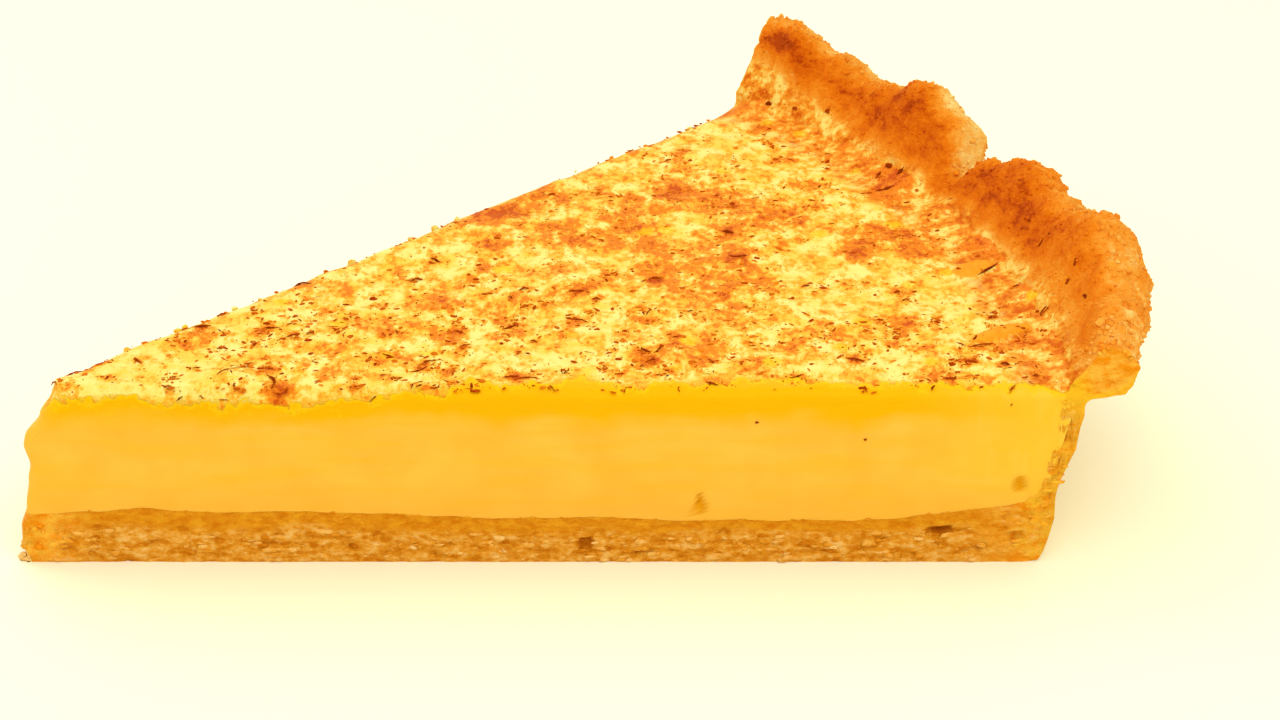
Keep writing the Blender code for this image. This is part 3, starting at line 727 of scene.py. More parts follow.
# Stains under the nutmeg: x and y in mm, width in mm and how deep the colour is
STAINS = (
    (7, 0.4, 2.2, 0.9), (9, 7, 1.2, 0.6), (15.3, 2.3, 1.4, 0.9), (17.8, 9.4, 1.9, 0.8),
    (19.4, 12.2, 2.2, 1.0), (18.6, 14.4, 1.2, 0.8), (25.3, 13.6, 1.4, 0.9), (24.2, 0.8, 0.9, 0.7),
    (27, 4.2, 1.1, 1.0), (28.2, 0.6, 1.6, 1.0), (31.2, 7.6, 3.2, 0.95), (33.5, 3.5, 2.0, 0.8),
    (28.6, 25.2, 2.0, 1.0), (32.6, 24.3, 1.6, 0.6), (32, 18.4, 1.8, 0.7), (30.2, 14.4, 1.4, 0.6),
    (36.5, 22.4, 1.5, 0.7), (36, 15.2, 2.0, 0.8), (37.7, 13.8, 2.2, 0.9), (41.2, 14, 2.4, 0.9),
    (34.2, 10.6, 1.5, 0.8), (41.9, 19.6, 2.0, 0.8), (39.2, 7.4, 1.7, 1.1), (36.3, 1, 0.8, 0.9),
    (44, 21.5, 2.2, 1.0), (49.5, 28, 1.5, 0.8), (49.5, 35.4, 1.8, 1.1), (48.4, 43.4, 2.8, 1.2),
    (52, 47, 2.8, 0.9), (56, 38, 2.4, 0.9), (58.7, 36.4, 1.6, 1.0), (54.5, 50.6, 2.0, 0.8),
    (63.5, 42.4, 2.5, 0.9), (65.8, 36.4, 3.4, 1.0), (71.3, 31.4, 3.0, 1.0), (69, 48, 2.4, 1.2),
    (71, 51.5, 2.2, 1.0), (57, 28.5, 2.0, 0.9), (58.6, 23, 2.4, 1.1), (66.5, 27.4, 2.5, 0.9),
    (51, 17.4, 2.6, 1.0), (57.6, 13.5, 2.0, 0.9), (45.2, 12, 2.0, 1.0), (46.3, 8.4, 1.3, 1.0),
    (65, 16.8, 2.0, 0.9), (65.2, 12.4, 1.4, 0.9), (71, 9.8, 3.0, 1.1), (73.4, 17.2, 2.5, 1.1),
    (74, 23.6, 2.8, 0.9), (70, 23.4, 2.8, 0.9), (67, 6.5, 1.5, 1.0), (68.9, 4.2, 0.9, 1.1),
    (48.3, 1.2, 0.8, 1.1), (53.2, 2.4, 1.4, 1.1), (60.3, 7.5, 1.0, 0.8), (78.8, 25.2, 1.5, 0.8),
    (88.3, 25.2, 1.3, 0.9), (85.2, 14.2, 1.8, 0.8), (86.4, 12, 1.8, 1.0), (82.2, 10, 1.8, 0.9),
    (92.2, 10.7, 1.5, 1.0), (95.7, 9.2, 1.2, 1.0), (94.7, 15.4, 1.8, 0.9), (97.2, 14.4, 1.2, 0.8),
    (88.5, 6.4, 1.5, 0.9), (78.8, 6.2, 1.1, 1.0), (82, 2.8, 1.0, 1.1), (97.8, 2.6, 1.5, 1.0),
    (100.3, 6.2, 1.0, 1.1), (103.9, 5.3, 0.8, 1.1), (106.8, 2.8, 0.7, 1.1), (76.6, 32.2, 2.4, 1.1),
    (75.6, 38.6, 1.5, 1.2), (80.5, 42.4, 2.2, 0.9), (78, 47, 1.6, 1.0), (82.6, 45, 1.4, 0.8),
    (91, 38, 2.4, 0.9), (94.6, 37.8, 2.6, 0.8), (97, 34, 2.4, 0.9), (90.3, 33.4, 1.8, 0.9),
    (94.8, 50.5, 2.2, 1.3), (96.5, 53, 1.5, 1.0), (104.8, 37, 1.6, 0.9), (105.4, 32.4, 2.0, 1.0),
    (108, 20.3, 1.5, 0.9), (109.2, 19.6, 1.2, 1.0), (108, 25, 1.4, 0.9), (104, 8.8, 1.4, 0.9),
    (62, 5, 0.8, 0.8),
)
SMALL_STAINS = 260

# The larger curls of nutmeg, which stain it too: x and y in mm (over the near edge where y is under 0),
# heading in degrees, length and width in mm, and how far it bends round in radians
CURLS = (
    (6.6, 4.7, 25, 2.2, 0.30, 0.6), (8.7, 6.6, 42, 2.2, 0.18, 0.3), (4.9, 1.9, 60, 0.9, 0.22, 0.3),
    (10.3, 2.9, 70, 1.0, 0.14, 0.8), (12.9, 6.6, -45, 1.3, 0.24, 0.4), (17.2, 2.9, 0, 0.7, 0.22, 0.2),
    (19.4, 4.8, 10, 1.0, 0.14, 0.2), (16.9, 0.8, 20, 0.9, 0.16, 0.4), (18.2, -1.2, 50, 1.2, 0.22, 0.8),
    (20.4, -1.0, -50, 0.8, 0.14, 0.3), (22.7, -1.4, 0, 1.0, 0.16, 1.5), (22.4, 3.8, 50, 2.4, 0.18, -1.2),
    (24.3, 4.8, 4, 2.6, 0.08, -0.2), (27.6, 1.8, 100, 2.8, 0.30, 1.6), (28.7, 0.2, 20, 2.2, 0.32, 2.6),
    (27.1, 4.4, 0, 1.2, 0.16, 0.8), (24.6, 5.7, 40, 0.8, 0.08, 0.2), (21.3, 12.8, -60, 0.8, 0.18, 0.4),
    (18.8, 14.4, 0, 1.9, 0.34, 0.8), (20.3, 18.7, 10, 1.1, 0.36, 0.5), (21.2, 9.5, 0, 0.6, 0.16, 0.2),
    (24.8, 10.4, 60, 0.8, 0.2, 0.5), (26.3, 14.0, -10, 1.7, 0.3, 0.7), (28.7, 12.3, 20, 1.7, 0.22, 0.4),
    (30.6, 12.4, 10, 0.9, 0.14, 0.4), (33.7, 20.2, 10, 0.8, 0.22, 0.2), (28.5, 25.3, 0, 2.0, 0.3, 0.4),
    (41.0, 26.0, 20, 1.6, 0.3, -1.2), (39.2, 7.8, -30, 1.4, 0.16, 0.8), (42.6, 4.6, 20, 2.2, 0.2, 1.4),
    (38.0, 5.8, 70, 0.7, 0.16, 0.4), (37.3, 7.0, 40, 0.7, 0.12, 0.3), (39.0, 3.4, 20, 0.8, 0.14, 0.6),
    (38.2, -1.4, 60, 1.6, 0.2, 0.6), (36.4, 1.0, 0, 1.0, 0.16, 2.0), (40.1, 2.6, 0, 0.6, 0.16, 0.4),
    (42.9, 0.8, 30, 0.7, 0.18, 0.2), (42.8, 31.0, -40, 1.6, 0.26, 0.2), (49.0, 22.3, 5, 1.3, 0.34, 0.5),
    (53.0, 23.2, 25, 1.3, 0.26, 0.3), (51.6, 21.0, -60, 0.9, 0.14, 0.3),
    (53.4, 19.1, -50, 0.8, 0.2, 0.4), (51.9, 14.5, 32, 2.0, 0.34, 0.5),
    (46.4, 13.4, -40, 1.3, 0.32, 0.8), (47.1, 9.6, 35, 1.2, 0.16, 0.6), (43.6, 6.0, 28, 2.6, 0.14, -0.4),
    (45.9, 2.0, -40, 1.8, 0.14, 1.4), (48.3, 1.0, 90, 1.6, 0.24, 0.3), (53.0, 8.2, 60, 1.0, 0.16, 0.6),
    (52.4, 2.5, 0, 1.5, 0.4, 0.6), (54.0, 2.2, 4, 2.2, 0.16, 0.2), (58.0, 3.8, 60, 0.8, 0.14, 0.6),
    (56.7, 0.6, -60, 1.0, 0.14, 0.6), (54.5, 10.8, -30, 0.8, 0.18, 0.3), (59.0, 16.2, 5, 1.3, 0.22, 0.3),
    (58.8, 23.2, 0, 1.8, 0.34, 0.3), (61.0, 21.2, -8, 1.0, 0.26, 0.2), (62.9, 27.8, 45, 1.2, 0.16, 0.2),
    (67.5, 26.8, -5, 1.4, 0.34, 0.4), (66.7, 18.0, 65, 1.2, 0.16, -0.9),
    (71.2, 18.0, 30, 0.9, 0.12, 0.3), (66.3, 8.6, -50, 1.7, 0.18, 1.8), (67.7, 8.8, 60, 2.0, 0.16, 1.4),
    (66.9, 6.4, 30, 1.3, 0.2, 0.4), (68.8, 4.2, -30, 1.1, 0.22, 0.4), (67.7, 3.5, 0, 0.7, 0.16, 0.6),
    (62.0, 5.0, 0, 0.9, 0.16, 1.8), (63.1, 9.0, -80, 0.8, 0.14, 0.4), (66.0, 5.4, 0, 0.5, 0.14, 0.1),
    (73.2, 1.7, -30, 1.6, 0.22, 1.2), (73.2, 6.6, -60, 1.6, 0.12, 0.4), (69.5, 11.7, 35, 0.8, 0.12, 0.2),
    (75.8, 38.7, -10, 1.5, 0.4, 0.5), (76.8, 32.0, 5, 2.0, 0.34, 0.7), (84.0, 24.6, 20, 1.0, 0.2, 0.2),
    (94.0, 23.2, 25, 0.9, 0.22, 0.2), (94.8, 21.0, 20, 0.9, 0.18, 0.2), (88.4, 6.8, -10, 2.2, 0.24, 0.6),
    (82.0, 2.9, 20, 1.4, 0.24, 1.2), (98.0, 2.4, 10, 1.8, 0.24, 2.0), (100.4, 6.2, -18, 1.7, 0.36, 0.3),
    (104.0, 5.4, -30, 1.1, 0.26, 0.9), (106.9, 2.8, 0, 0.8, 0.24, 0.8),
    (103.7, 16.2, 12, 0.9, 0.26, 0.3), (109.3, 16.4, 30, 1.1, 0.26, 0.4),
    # The first curl on the next line, 3 mm long at x 101.9 and y 10.0, is a painted shadow: a dark strip laid
    # along the near edge of the first blister, where its shade falls, with a stain under it like every curl
    (101.9, 10.0, 12, 3.0, 0.2, 0.2), (104.5, 28.0, 42, 3.4, 0.3, 0.2),
    (107.0, 23.0, 10, 0.9, 0.16, 0.2), (94.6, 50.4, 10, 2.2, 0.5, 0.6), (96.6, 53.2, 40, 1.4, 0.4, 0.4),
    (94.0, 53.8, 60, 1.4, 0.36, 0.3), (112.7, 18.4, 80, 0.9, 0.8, 0.5), (111.8, 17.3, 60, 0.6, 0.4, 0.2),
    (112.9, 12.5, 100, 0.9, 0.4, 0.3), (109.1, 31.3, 110, 0.8, 0.24, 0.2),
    (110.8, 26.6, 110, 0.7, 0.26, 0.2), (109.9, 26.8, 40, 0.9, 0.26, 0.2),
    (109.3, 15.9, 20, 1.1, 0.3, 0.4), (81.7, 73.6, 140, 0.8, 0.6, 0.4), (84.9, 71.3, 130, 0.8, 0.6, 0.4),
    (88.8, 68.6, 120, 0.9, 0.6, 0.4), (95.3, 55.0, 110, 1.1, 0.6, 0.4), (77.9, -6.7, 0, 0.4, 0.3, 0.0),
    (89.2, -10.3, 20, 0.35, 0.25, 0.0), (104.2, -3.0, 60, 0.3, 0.2, 0.0),
)

CUSTARD_STEPS = 270
CUSTARD_LAYERS = 36
CUSTARD_TURNS = 210
INNER_STEPS = 270
STAINED_RADIUS = 111 * MM

stain_draw = np.random.default_rng(45)
small_turn = SLICE_ANGLE * stain_draw.random(SMALL_STAINS)
small_radius = STAINED_RADIUS * np.sqrt(0.03 + 0.97 * stain_draw.random(SMALL_STAINS))
small_width = stain_draw.uniform(0.5, 1.3, SMALL_STAINS)
small_depth = stain_draw.uniform(0.3, 0.8, SMALL_STAINS)
main_x, main_y, main_width, main_depth = np.array(STAINS).T
curl_x, curl_y, curl_heading, curl_length, curl_width, curl_bend = np.array(CURLS).T
stain_x = np.concatenate([main_x * MM, curl_x * MM, small_radius * np.cos(small_turn)])
stain_y = np.concatenate([main_y * MM, curl_y * MM, small_radius * np.sin(small_turn)])
stain_width = np.concatenate([main_width, 0.3 + 0.35 * curl_length, small_width]) * MM
stain_width *= 1.1 + 0.3 * rise(stain_y, 12 * MM, 45 * MM)
stain_depth = np.concatenate([main_depth, 0 * curl_x + 0.8, small_depth])


def on_top(x, y):
    """Points on the custard's top: a level with ripples and blisters on it, that rises along r^2.2 where it
    crept up the wall, and sinks along 3t^2 - 2t^3 to the wedge's point and both cuts."""
    flat = np.stack([x, y, 0 * x], axis=-1)
    radius = np.hypot(x, y)
    to_far_cut = x * math.sin(SLICE_ANGLE) - y * math.cos(SLICE_ANGLE)
    top = CUSTARD_TOP + TOP_SWELLS * ripple(flat, 11 * MM, 0.5) + TOP_LUMPS * ripple(flat, 4.4 * MM, 3.3)
    top += TOP_GRAIN * ripple(flat, 1.7 * MM, 6.3)
    crest_height = through_stations(RIM_STATIONS, np.degrees(np.arctan2(y, x)))[..., 0] * MM
    creep = WALL_CREEP * crest_height * (1 + 0.4 * ripple(flat, 5 * MM, 7.3))
    top += creep * np.clip((radius / MM - 105) / 6, 0, 1.1) ** 2.2
    top -= POINT_DROP * (1 - rise(radius, 0, 20 * MM))
    top -= FAR_EDGE_DROP * (1 - rise(to_far_cut, 0, FAR_EDGE_WIDTH))
    skin_edge = through_stations(SKIN_EDGE, x / MM)[..., 0] * MM
    top -= NEAR_EDGE_DROP * (1 - rise(y, 0, np.maximum(skin_edge, 0) + 0.9 * MM))
    return flat + (top + blister(x, y)[0])[..., None] * (0, 0, 1)


def blister(x, y):
    """The blisters' height, low domes of (1 - x^2 - y^2)^0.8 that lean to the near cut, and their mark."""
    height, mark = 0 * x, 0 * x
    for middle_x, middle_y, heading, half_length, half_width, lift in BLISTERS:
        cosine, sine = math.cos(math.radians(heading)), math.sin(math.radians(heading))
        along = ((x / MM - middle_x) * cosine + (y / MM - middle_y) * sine) / half_length
        across = ((y / MM - middle_y) * cosine - (x / MM - middle_x) * sine) / half_width
        dome = np.maximum(0, 1 - along**2 - across**2)
        height = height + lift * MM * dome**0.8 * (0.7 - 0.3 * across)
        mark = mark + rise(dome, 0, 0.35)
    return height, mark


def stained(points):
    """How deep the nutmeg's stain is at each point: a round soft blot, exp(-d^2), about each stain."""
    total = 0
    for x, y, width, depth in zip(stain_x, stain_y, stain_width, stain_depth):
        away = (points[:, 0] - x) ** 2 + (points[:, 1] - y) ** 2
        total = total + depth * np.exp(-away / width**2)
    return total


def custard_finish(name, softness):
    """Set custard: its cut body is banded by depth, with streaks that the knife drew. Over it lies the skin,
    pale with yellow clouds and beads, orange to brown by the stain mark, and ragged at its edge."""
    material, tree, surface = new_finish(name, 0.42, softness, 1.0)
    depth = figured(tree, "DIVIDE", marked(tree, "depth"), MM)
    drift = clouds(tree, 6 * MM, 2.0)
    streaks = clouds(tree, 1.6 * MM, 3.0, (7, 7, 1), 2.0)
    band = shifted(tree, shifted(tree, depth, drift, 1.8), streaks, 1.2)
    under_skin = ranged(tree, band, 2.0, 4.4, 1.0, 0.0)
    strokes = ranged(tree, clouds(tree, 1.1 * MM, 3.0, (1, 1, 5), 13.0), 0.42, 0.75, 0.0, 0.35)
    body = over(tree, paint(253, 188, 60), paint(255, 199, 74), drift, 0.25, 0.75)
    body = over(tree, body, paint(255, 189, 34), streaks, 0.38, 0.72, 0.5)
    body = blended(tree, under_skin, body, paint(254, 185, 2))
    body = over(tree, body, paint(253, 182, 64), depth, 9.0, 15.0, 0.55)
    body = blended(tree, marked(tree, "lit"), body, paint(255, 201, 52))
    body = blended(tree, figured(tree, "MULTIPLY", strokes, marked(tree, "lit")), body, paint(255, 214, 92))
    # Inside the pinholes the body turns a darker, deeper orange: painted shade in the hollow
    body = blended(tree, marked(tree, "painted_pit_shade"), body, paint(238, 160, 10))

    wide = clouds(tree, 3.4 * MM, 4.0, offset=5.0, roughness=0.6)
    flecks = clouds(tree, 1.25 * MM, 4.0, (1.1, 1.5, 1), 8.0, 0.68)
    fine = clouds(tree, 0.55 * MM, 3.0, (1, 1.5, 1), 11.0, 0.6)
    rimward = shifted(tree, marked(tree, "rimward"), wide, 0.7)
    freckles = placed(tree, freckle_group, Warmth=0.02)["Color"]
    stain = shifted(tree, shifted(tree, marked(tree, "stain"), wide, 0.8), flecks, 2.3)
    stain = shifted(tree, stain, fine, 0.9)
    specks = shifted(tree, fine, marked(tree, "stain"), 0.04)
    beads = add(tree, "TexVoronoi", Vector=add(tree, "TexCoord").outputs["Object"], Scale=1 / (6.5 * MM))
    beads = ranged(tree, shifted(tree, beads.outputs["Distance"], flecks, 0.12), 0.1, 0.2, 0.6, 0.0)
    blistered = shifted(tree, marked(tree, "blister"), wide, 0.5)
    skin = over(tree, paint(254, 238, 136), paint(253, 215, 82), wide, 0.38, 0.62)
    skin = over(tree, skin, paint(252, 198, 66), flecks, 0.45, 0.62, 0.6)
    skin = over(tree, skin, paint(253, 182, 46), stain, 0.3, 0.8, 0.9)
    skin = over(tree, skin, freckles, rimward, 0.2, 0.8)
    skin = over(tree, skin, paint(241, 130, 24), stain, 0.85, 1.35, 0.92)
    skin = over(tree, skin, paint(206, 78, 16), stain, 1.6, 2.2, 0.9)
    skin = over(tree, skin, paint(204, 96, 20), specks, 0.66, 0.74, 0.7)
    skin = blended(tree, beads, skin, paint(255, 208, 24))
    browned = blended(tree, flecks, paint(255, 182, 36), paint(245, 140, 26))
    skin = over(tree, skin, browned, blistered, 0.1, 0.75, 0.95)

    edge = figured(tree, "DIVIDE", marked(tree, "skin"), MM)
    edge = shifted(tree, shifted(tree, edge, wide, 1.6), flecks, 2.4)
    fringe = over(tree, body, paint(255, 202, 14), edge, -1.0, -0.1)
    put(tree, surface.inputs["Base Color"], over(tree, fringe, skin, edge, -0.3, 0.5))
    on_skin = ranged(tree, edge, -0.2, 0.3)
    pores = figured(tree, "MULTIPLY", figured(tree, "ADD", fine, flecks), on_skin)
    surface_height = figured(tree, "MULTIPLY_ADD", streaks, 0.3, pores)
    put(tree, surface.inputs["Normal"], raised(tree, surface_height, 0.2 * MM, 0.7))
    put(tree, surface.inputs["Roughness"], ranged(tree, on_skin, 0.0, 1.0, 0.38, 0.6))
    return material


# The custard fills what floor, wall and rim leave: layers from the floor up, each reaching into the wall
custard_turns = np.linspace(0, SLICE_ANGLE, CUSTARD_TURNS + 1)
inner_places = np.linspace(0, CREST_PLACE, INNER_STEPS + 1)
inner_walls = case_sides(custard_turns, inner_places)[1]
levels = np.linspace(FLOOR_THICKNESS, CUSTARD_TOP, CUSTARD_LAYERS + 1)
floor_lift = FLOOR_STATIONS[-1][1] * MM - FLOOR_THICKNESS
lifted_levels = levels + floor_lift * np.linspace(1, 0, CUSTARD_LAYERS + 1) ** 2
wall_reach = np.array([np.interp(lifted_levels, wall[:, 1], wall[:, 0]) for wall in inner_walls])

custard_counts = (CUSTARD_STEPS, CUSTARD_LAYERS, CUSTARD_TURNS)
(strip, layer, turn), custard_faces = box_shell(custard_counts, CUSTARD_STEPS, 0)
angle = custard_turns[turn]
share = layer / CUSTARD_LAYERS
level = levels[layer]
tip = start_radius(angle, level + share * 1.3 * MM)
upright_line = np.stack([0 * level, 0 * level, level], axis=-1)
into_wall = (0.05 + 1.2 * share + 0.4 * ripple(upright_line, 1.7 * MM, 3.7)) * MM
radius = between(tip, wall_reach[turn, layer] + into_wall, strip / CUSTARD_STEPS)
top = on_top(radius * np.cos(angle), radius * np.sin(angle))
points = top.copy()
points[:, 2] = level + (top[:, 2] - CUSTARD_TOP) * share**2 + floor_wave(top) * (1 - share) ** 2
depth = top[:, 2] - points[:, 2]

# Its top edges are rounded: the topmost points sink and draw in next to the cuts
to_near = radius * np.sin(angle)
to_far = radius * np.sin(SLICE_ANGLE - angle)
rounding = EDGE_ROUNDING * (layer == CUSTARD_LAYERS)
points[:, 2] -= rounding * (1 - rise(np.minimum(to_near, to_far), 0, 0.7 * MM))
past_point = rise(radius, 6 * MM, 12 * MM)
drawn_near = rounding * past_point * (1 - rise(to_near, 0, 1.6 * MM)) * (turn > 0)
drawn_far = rounding * past_point * (1 - rise(to_far, 0, 1.6 * MM)) * (turn < CUSTARD_TURNS)
points -= drawn_near[:, None] * OUT_OF_NEAR + drawn_far[:, None] * OUT_OF_FAR

# The cuts wave a little as the knife went, and have pinholes
at_near = turn == 0
at_far = turn == CUSTARD_TURNS
waves = CUT_WAVES * ripple(points, 7 * MM, 1.1) + CUT_GRAIN * ripple(points, 1.5 * MM, 4.4)
waves += KNIFE_DRAG * ripple(points * (0.15, 0.15, 1), 0.9 * MM, 2.1)
waves -= EDGE_ROUNDING * past_point * (1 - rise(depth, 0, 0.8 * MM))
# Each pinhole also gets a mark that paints its inside darker orange, as painted shade
painted_pit_shade = 0 * waves
for inside, pit_depth in pit_insides(radius, points[:, 2], CUSTARD_PITS):
    waves -= at_near * pit_depth * np.sqrt(np.maximum(0, inside))
    painted_pit_shade += at_near * rise(inside, 0, 0.5)
raise_cuts(points, waves, at_near, at_far)

near_skin = to_near - depth - through_stations(SKIN_EDGE, radius / MM)[..., 0] * MM
far_skin = to_far - depth + 0.9 * MM
stain_over_all = 0.15 + 0.18 * rise(radius, 20 * MM, 55 * MM) + 0.16 * rise(points[:, 1], 10 * MM, 45 * MM)
stain_over_all += 0.12 * rise(points[:, 0], 62 * MM, 75 * MM) * (1 - rise(points[:, 1], 12 * MM, 25 * MM))
custard_marks = {
    "depth": depth,
    "skin": np.minimum(near_skin, far_skin),
    "stain": 0.75 * stained(points) + stain_over_all,
    "rimward": rise(radius, 101 * MM, 109 * MM),
    "lit": rise(radius, 92 * MM, 109 * MM) * rise(points[:, 2], 5 * MM, 14 * MM) * 0.8,
    "painted_pit_shade": painted_pit_shade,
    "blister": blister(points[:, 0], points[:, 1])[1] * rise(-depth, -0.5 * MM, 0),
}
set_custard = custard_finish("custard", 0.15)
make_piece("custard_filling", points, custard_faces, set_custard, "custard", custard_marks)


# A few crumbs of custard cling to the skin along the far edge, where the knife dragged them up. They are the
# same set custard, torn off small and uneven.
EDGE_CRUMBS = 16
crumb_along = stain_draw.uniform(14, 104, EDGE_CRUMBS) * MM
crumb_in = stain_draw.uniform(0.1, 1.1, EDGE_CRUMBS) * MM
crumb_x = crumb_along * math.cos(SLICE_ANGLE) + crumb_in * math.sin(SLICE_ANGLE)
crumb_y = crumb_along * math.sin(SLICE_ANGLE) - crumb_in * math.cos(SLICE_ANGLE)
sizes = stain_draw.uniform(0.2, 0.55, EDGE_CRUMBS) * MM
heading = stain_draw.uniform(0, math.tau, EDGE_CRUMBS)
stretch = stain_draw.uniform(0.5, 1.0, EDGE_CRUMBS)
upright = stain_draw.uniform(0.6, 1.1, EDGE_CRUMBS)
edge_points, edge_faces = lumps(on_top(crumb_x, crumb_y), sizes, heading, stretch, upright, stain_draw)
edge_marks = {name: np.zeros(len(edge_points)) for name in custard_marks}
edge_marks["skin"] += 1 * MM
edge_marks["stain"] += on_corners(stain_draw.uniform(0, 0.6, EDGE_CRUMBS))
edge_finish = custard_finish("custard crumbs", 0.0)
make_piece("custard_crumbs", edge_points, edge_faces, edge_finish, "custard", edge_marks)


# The nutmeg is grated over the tart before it bakes: dark curls and splinters of its hard seed, flakes and a
# fine dust. It lies where it fell, half sunk in the skin, hangs over the near edge and thins out on the rim.
SHRED_COUNT = 260
SHRED_POINTS = 8
SHRED_SIDES = 5
FLAKE_COUNT = 3000
DUST_COUNT = 2000
HANG = 0.52
SPREAD_RADIUS = 116 * MM
SLOPE_RADII = (108 * MM, 119 * MM)
SLOPE_STEPS = 110
WALL_RADIUS = 109 * MM


# Nutmeg grain: a shade between its dark and light brown, broken up by soft clouds, and a rough surface
nutmeg_inputs = (("Shade", "Float"), ("Dark", "Color"), ("Light", "Color"))
nutmeg_outputs = (("Color", "Color"), ("Normal", "Vector"))
nutmeg_group, given, result = new_group("nutmeg grain", nutmeg_inputs, nutmeg_outputs)
nutmeg_shade = shifted(nutmeg_group, given["Shade"], clouds(nutmeg_group, 0.4 * MM), 0.35)
put(nutmeg_group, result["Color"], blended(nutmeg_group, nutmeg_shade, given["Dark"], given["Light"]))
put(nutmeg_group, result["Normal"], raised(nutmeg_group, clouds(nutmeg_group, 0.12 * MM), 0.015 * MM))


def nutmeg_finish(name, dark, light):
    """Grated nutmeg between its dark and its light brown, matt and with no light let in."""
    material, tree, surface = new_finish(name, 0.7, 0.0, 0.1, 0.0)
    grain = placed(tree, nutmeg_group, Shade=marked(tree, "shade"), Dark=dark, Light=light)
    put(tree, surface.inputs["Base Color"], grain["Color"])
    put(tree, surface.inputs["Normal"], grain["Normal"])
    return material


slope_radii = np.linspace(*SLOPE_RADII, SLOPE_STEPS + 1)
slope_heights = np.array([np.interp(slope_radii, side[:, 0], side[:, 1]) for side in inner_sides])


def laid(x, y):
    """Places laid on the higher of custard and rim, and hung over the near edge where y < 0."""
    points = on_top(x, np.maximum(y, 0))
    row = np.clip(np.arctan2(y, x) / SLICE_ANGLE * PASTRY_TURNS, 0, PASTRY_TURNS).astype(int)
    column = (np.hypot(x, y) - slope_radii[0]) / (slope_radii[1] - slope_radii[0])
    column = np.clip(column, 0, SLOPE_STEPS).astype(int)
    on_rim = slope_heights[row, column] * (np.hypot(x, y) > WALL_RADIUS)
    hung = np.minimum(y, 0)
    points[..., 2] = np.maximum(points[..., 2], on_rim) + HANG * hung
    points[..., 1] += (hung < 0) * -0.05 * MM
    return points


def scattered(draw, count, gathered):
    """Places on the slice as x and y: a share of them gathered round the stains, the rest evenly spread."""
    turn = SLICE_ANGLE * draw.random(count)
    radius = SPREAD_RADIUS * np.sqrt(draw.random(count))
    stain = draw.integers(0, len(stain_x), count)
    by_stain = draw.random(count) < gathered
    near = draw.normal(0, 0.75, (2, count)) * stain_width[stain]
    x = np.where(by_stain, stain_x[stain] + near[0], radius * np.cos(turn))
    y = np.where(by_stain, stain_y[stain] + near[1], radius * np.sin(turn))
    inside = (y > 0.3 * MM) & (x - y > 0.5 * MM) & (np.hypot(x, y) < SPREAD_RADIUS) & (x > 5 * MM)
    thinning = 0.75 * rise(np.hypot(x, y), 108 * MM, 112 * MM) + 0.5 * rise(y, 8 * MM, 30 * MM)
    kept = inside & (draw.random(count) > thinning)
    return x[kept], y[kept]


def tubes(centres, widths, sides, flatness):
    """Closed tubes along rows of centres: at each centre a ring of so many sides and of its width, square to
    the row and squashed by the flatness, as points and faces."""
    count, rings = centres.shape[:2]
    ahead = np.gradient(centres, axis=1)
    ahead /= np.linalg.norm(ahead, axis=-1, keepdims=True)
    aside = np.stack([-ahead[..., 1], ahead[..., 0], 0 * ahead[..., 0]], axis=-1)
    aside /= np.linalg.norm(aside, axis=-1, keepdims=True)
    above = np.cross(ahead, aside)
    round_angle = np.linspace(0, math.tau, sides, endpoint=False)
    across = np.cos(round_angle)[:, None] * aside[:, :, None]
    upward = np.sin(round_angle)[:, None] * above[:, :, None] * flatness
    points = centres[:, :, None] + widths[..., None, None] * (across + upward)
    number = np.arange(count * rings * sides).reshape(count, rings, sides)
    after = np.roll(number, -1, axis=2)
    quads = np.stack([number[:, :-1], after[:, :-1], after[:, 1:], number[:, 1:]], axis=-1).reshape(-1, 4)
    faces = quads.tolist() + number[:, 0, ::-1].tolist() + number[:, -1].tolist()
    return points.reshape(-1, 3), faces


# Shreds: the curls at their own places and small splinters between them, each thinning to its ends
nutmeg_draw = np.random.default_rng(12)
x, y = scattered(nutmeg_draw, SHRED_COUNT, 0.75)
count = len(x)
x = np.append(curl_x * MM, x)
y = np.append(curl_y * MM, y)
heading = np.append(np.radians(curl_heading), nutmeg_draw.uniform(0, math.tau, count))
small_lengths = nutmeg_draw.uniform(0.5, 1.6, count) * nutmeg_draw.uniform(0.5, 1.0, count)
length = np.append(curl_length, small_lengths) * MM
width = np.append(1.15 * curl_width / 2, nutmeg_draw.uniform(0.06, 0.15, count)) * MM
bend = np.append(curl_bend, nutmeg_draw.normal(0, 0.8, count))
count = len(x)
steps = np.linspace(-0.5, 0.5, SHRED_POINTS)
course = heading[:, None] + bend[:, None] * steps
stride = length[:, None] / (SHRED_POINTS - 1)
path_x = np.cumsum(stride * np.cos(course), axis=1)
path_y = np.cumsum(stride * np.sin(course), axis=1)
path_x += (x - path_x.mean(axis=1))[:, None]
path_y += (y - path_y.mean(axis=1))[:, None]
centres = laid(path_x, path_y)
curl_lifts = nutmeg_draw.uniform(0, 0.12, len(CURLS))
lifts = np.append(curl_lifts, nutmeg_draw.uniform(-0.05, 0.02, count - len(CURLS)))
centres[..., 2] += lifts[:, None] * MM * (1 + np.cos(2 * math.pi * steps))
uneven = nutmeg_draw.uniform(0.45, 1.35, (count, SHRED_POINTS))
widths = width[:, None] * uneven * (0.3 + 0.7 * np.maximum(0, np.cos(math.pi * steps)) ** 0.5)
shred_points, shred_faces = tubes(centres, widths, SHRED_SIDES, 0.65)
curl_shades = nutmeg_draw.uniform(0, 0.45, len(CURLS))
shades = np.append(curl_shades, nutmeg_draw.uniform(0, 0.9, count - len(CURLS)))
shred_marks = {"shade": np.repeat(shades, SHRED_POINTS * SHRED_SIDES)}
shred_finish = nutmeg_finish("nutmeg shreds", paint(128, 42, 8), paint(212, 90, 18))
make_piece("nutmeg_shreds", shred_points, shred_faces, shred_finish, "custard", shred_marks)

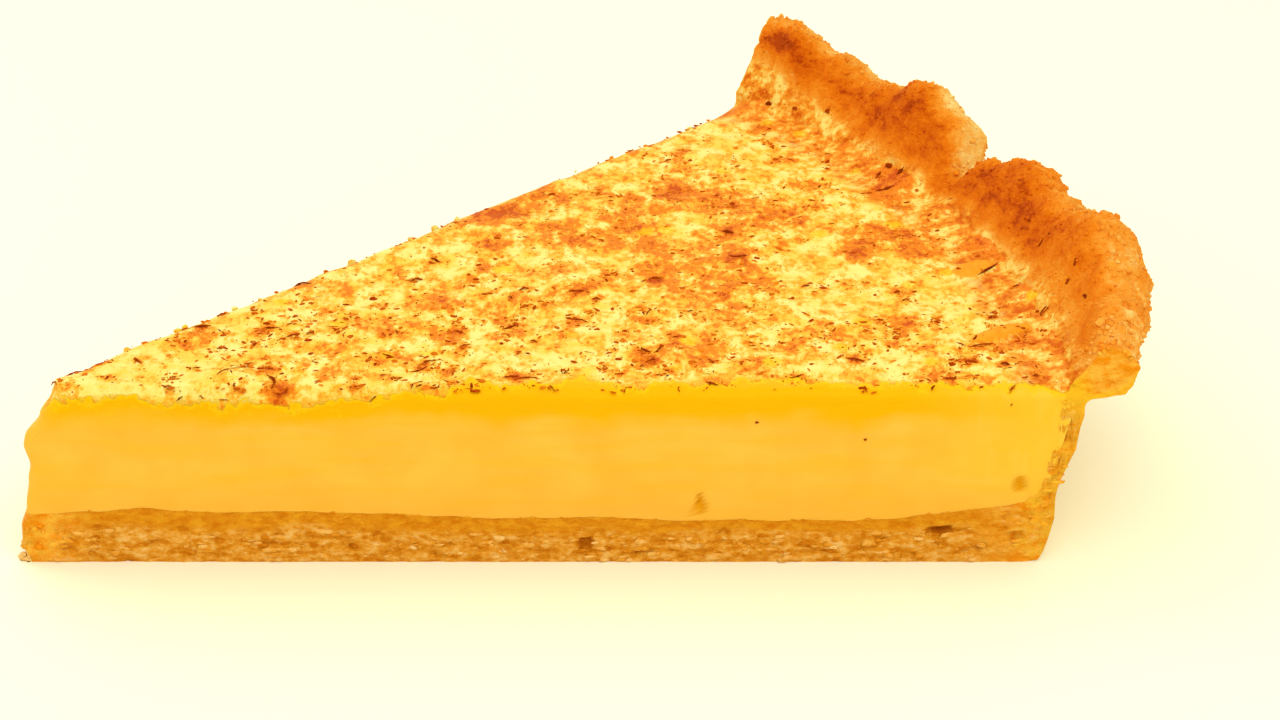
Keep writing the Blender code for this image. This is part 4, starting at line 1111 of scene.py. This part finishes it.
# Flakes, flat and longer than wide, that lie more or less one way
x, y = scattered(nutmeg_draw, FLAKE_COUNT, 0.8)
count = len(x)
sizes = nutmeg_draw.uniform(0.16, 0.6, count) * nutmeg_draw.uniform(0.45, 1.0, count) * MM
heading = nutmeg_draw.normal(0.3, 0.9, count)
stretch = nutmeg_draw.uniform(0.2, 0.75, count)
upright = nutmeg_draw.uniform(0.2, 0.45, count)
flake_points, flake_faces = lumps(laid(x, y), sizes, heading, stretch, upright, nutmeg_draw)
flake_marks = {"shade": on_corners(nutmeg_draw.uniform(0, 1, count))}
flake_finish = nutmeg_finish("nutmeg flakes", paint(172, 56, 6), paint(242, 134, 26))
make_piece("nutmeg_flakes", flake_points, flake_faces, flake_finish, "custard", flake_marks)

# Dust, the finest grains
x, y = scattered(nutmeg_draw, DUST_COUNT, 0.6)
count = len(x)
sizes = nutmeg_draw.uniform(0.05, 0.13, count) * MM
heading = nutmeg_draw.uniform(0, math.tau, count)
stretch = nutmeg_draw.uniform(0.5, 1.0, count)
dust_points, dust_faces = lumps(laid(x, y), sizes, heading, stretch, stretch, nutmeg_draw)
dust_marks = {"shade": on_corners(nutmeg_draw.uniform(0, 1, count))}
dust_finish = nutmeg_finish("nutmeg dust", paint(160, 54, 6), paint(232, 120, 26))
make_piece("nutmeg_dust", dust_points, dust_faces, dust_finish, "custard", dust_marks)


# The table is a wide pale cream sheet, and the light is a soft bright studio: an even sky and two broad
# lamps, one high in front and one high behind on the left.
TABLE_WIDTH = 3.0
LAMP_WIDTH = 0.5
FRONT_POWER = 1.9
BACK_POWER = 0.9
SKY_COLOUR = (1.0, 0.97, 0.86, 1)
SKY_STRENGTH = 1.03


def pale_table():
    """A plain square sheet under the slice, out to the picture's edges."""
    material = bpy.data.materials.new("cream table")
    material.use_nodes = True
    surface = material.node_tree.nodes["Principled BSDF"]
    surface.inputs["Base Color"].default_value = (0.93, 0.91, 0.68, 1)
    surface.inputs["Roughness"].default_value = 0.6
    mesh = bpy.data.meshes.new("table")
    half = TABLE_WIDTH / 2
    corners = [(-half, -half, 0), (half, -half, 0), (half, half, 0), (-half, half, 0)]
    mesh.from_pydata(corners, [], [(0, 1, 2, 3)])
    mesh.materials.append(material)
    floor = bpy.data.objects.new("table", mesh)
    bpy.context.collection.objects.link(floor)


def lamp(name, place, power):
    """A square lamp at its place, turned to the slice."""
    light = bpy.data.lights.new(name, "AREA")
    light.size = LAMP_WIDTH
    light.energy = power
    held = bpy.data.objects.new(name, light)
    bpy.context.collection.objects.link(held)
    held.location = place
    held.rotation_euler = (-Vector(place)).to_track_quat("-Z", "Y").to_euler()


pale_table()
lamp("front lamp", (0.12, -0.4, 0.6), FRONT_POWER)
lamp("back lamp", (-0.35, 0.3, 0.5), BACK_POWER)
world = bpy.data.worlds.new("studio")
world.use_nodes = True
sky = world.node_tree.nodes["Background"]
sky.inputs["Color"].default_value = SKY_COLOUR
sky.inputs["Strength"].default_value = SKY_STRENGTH
bpy.context.scene.world = world
bpy.context.scene.view_settings.view_transform = "Standard"
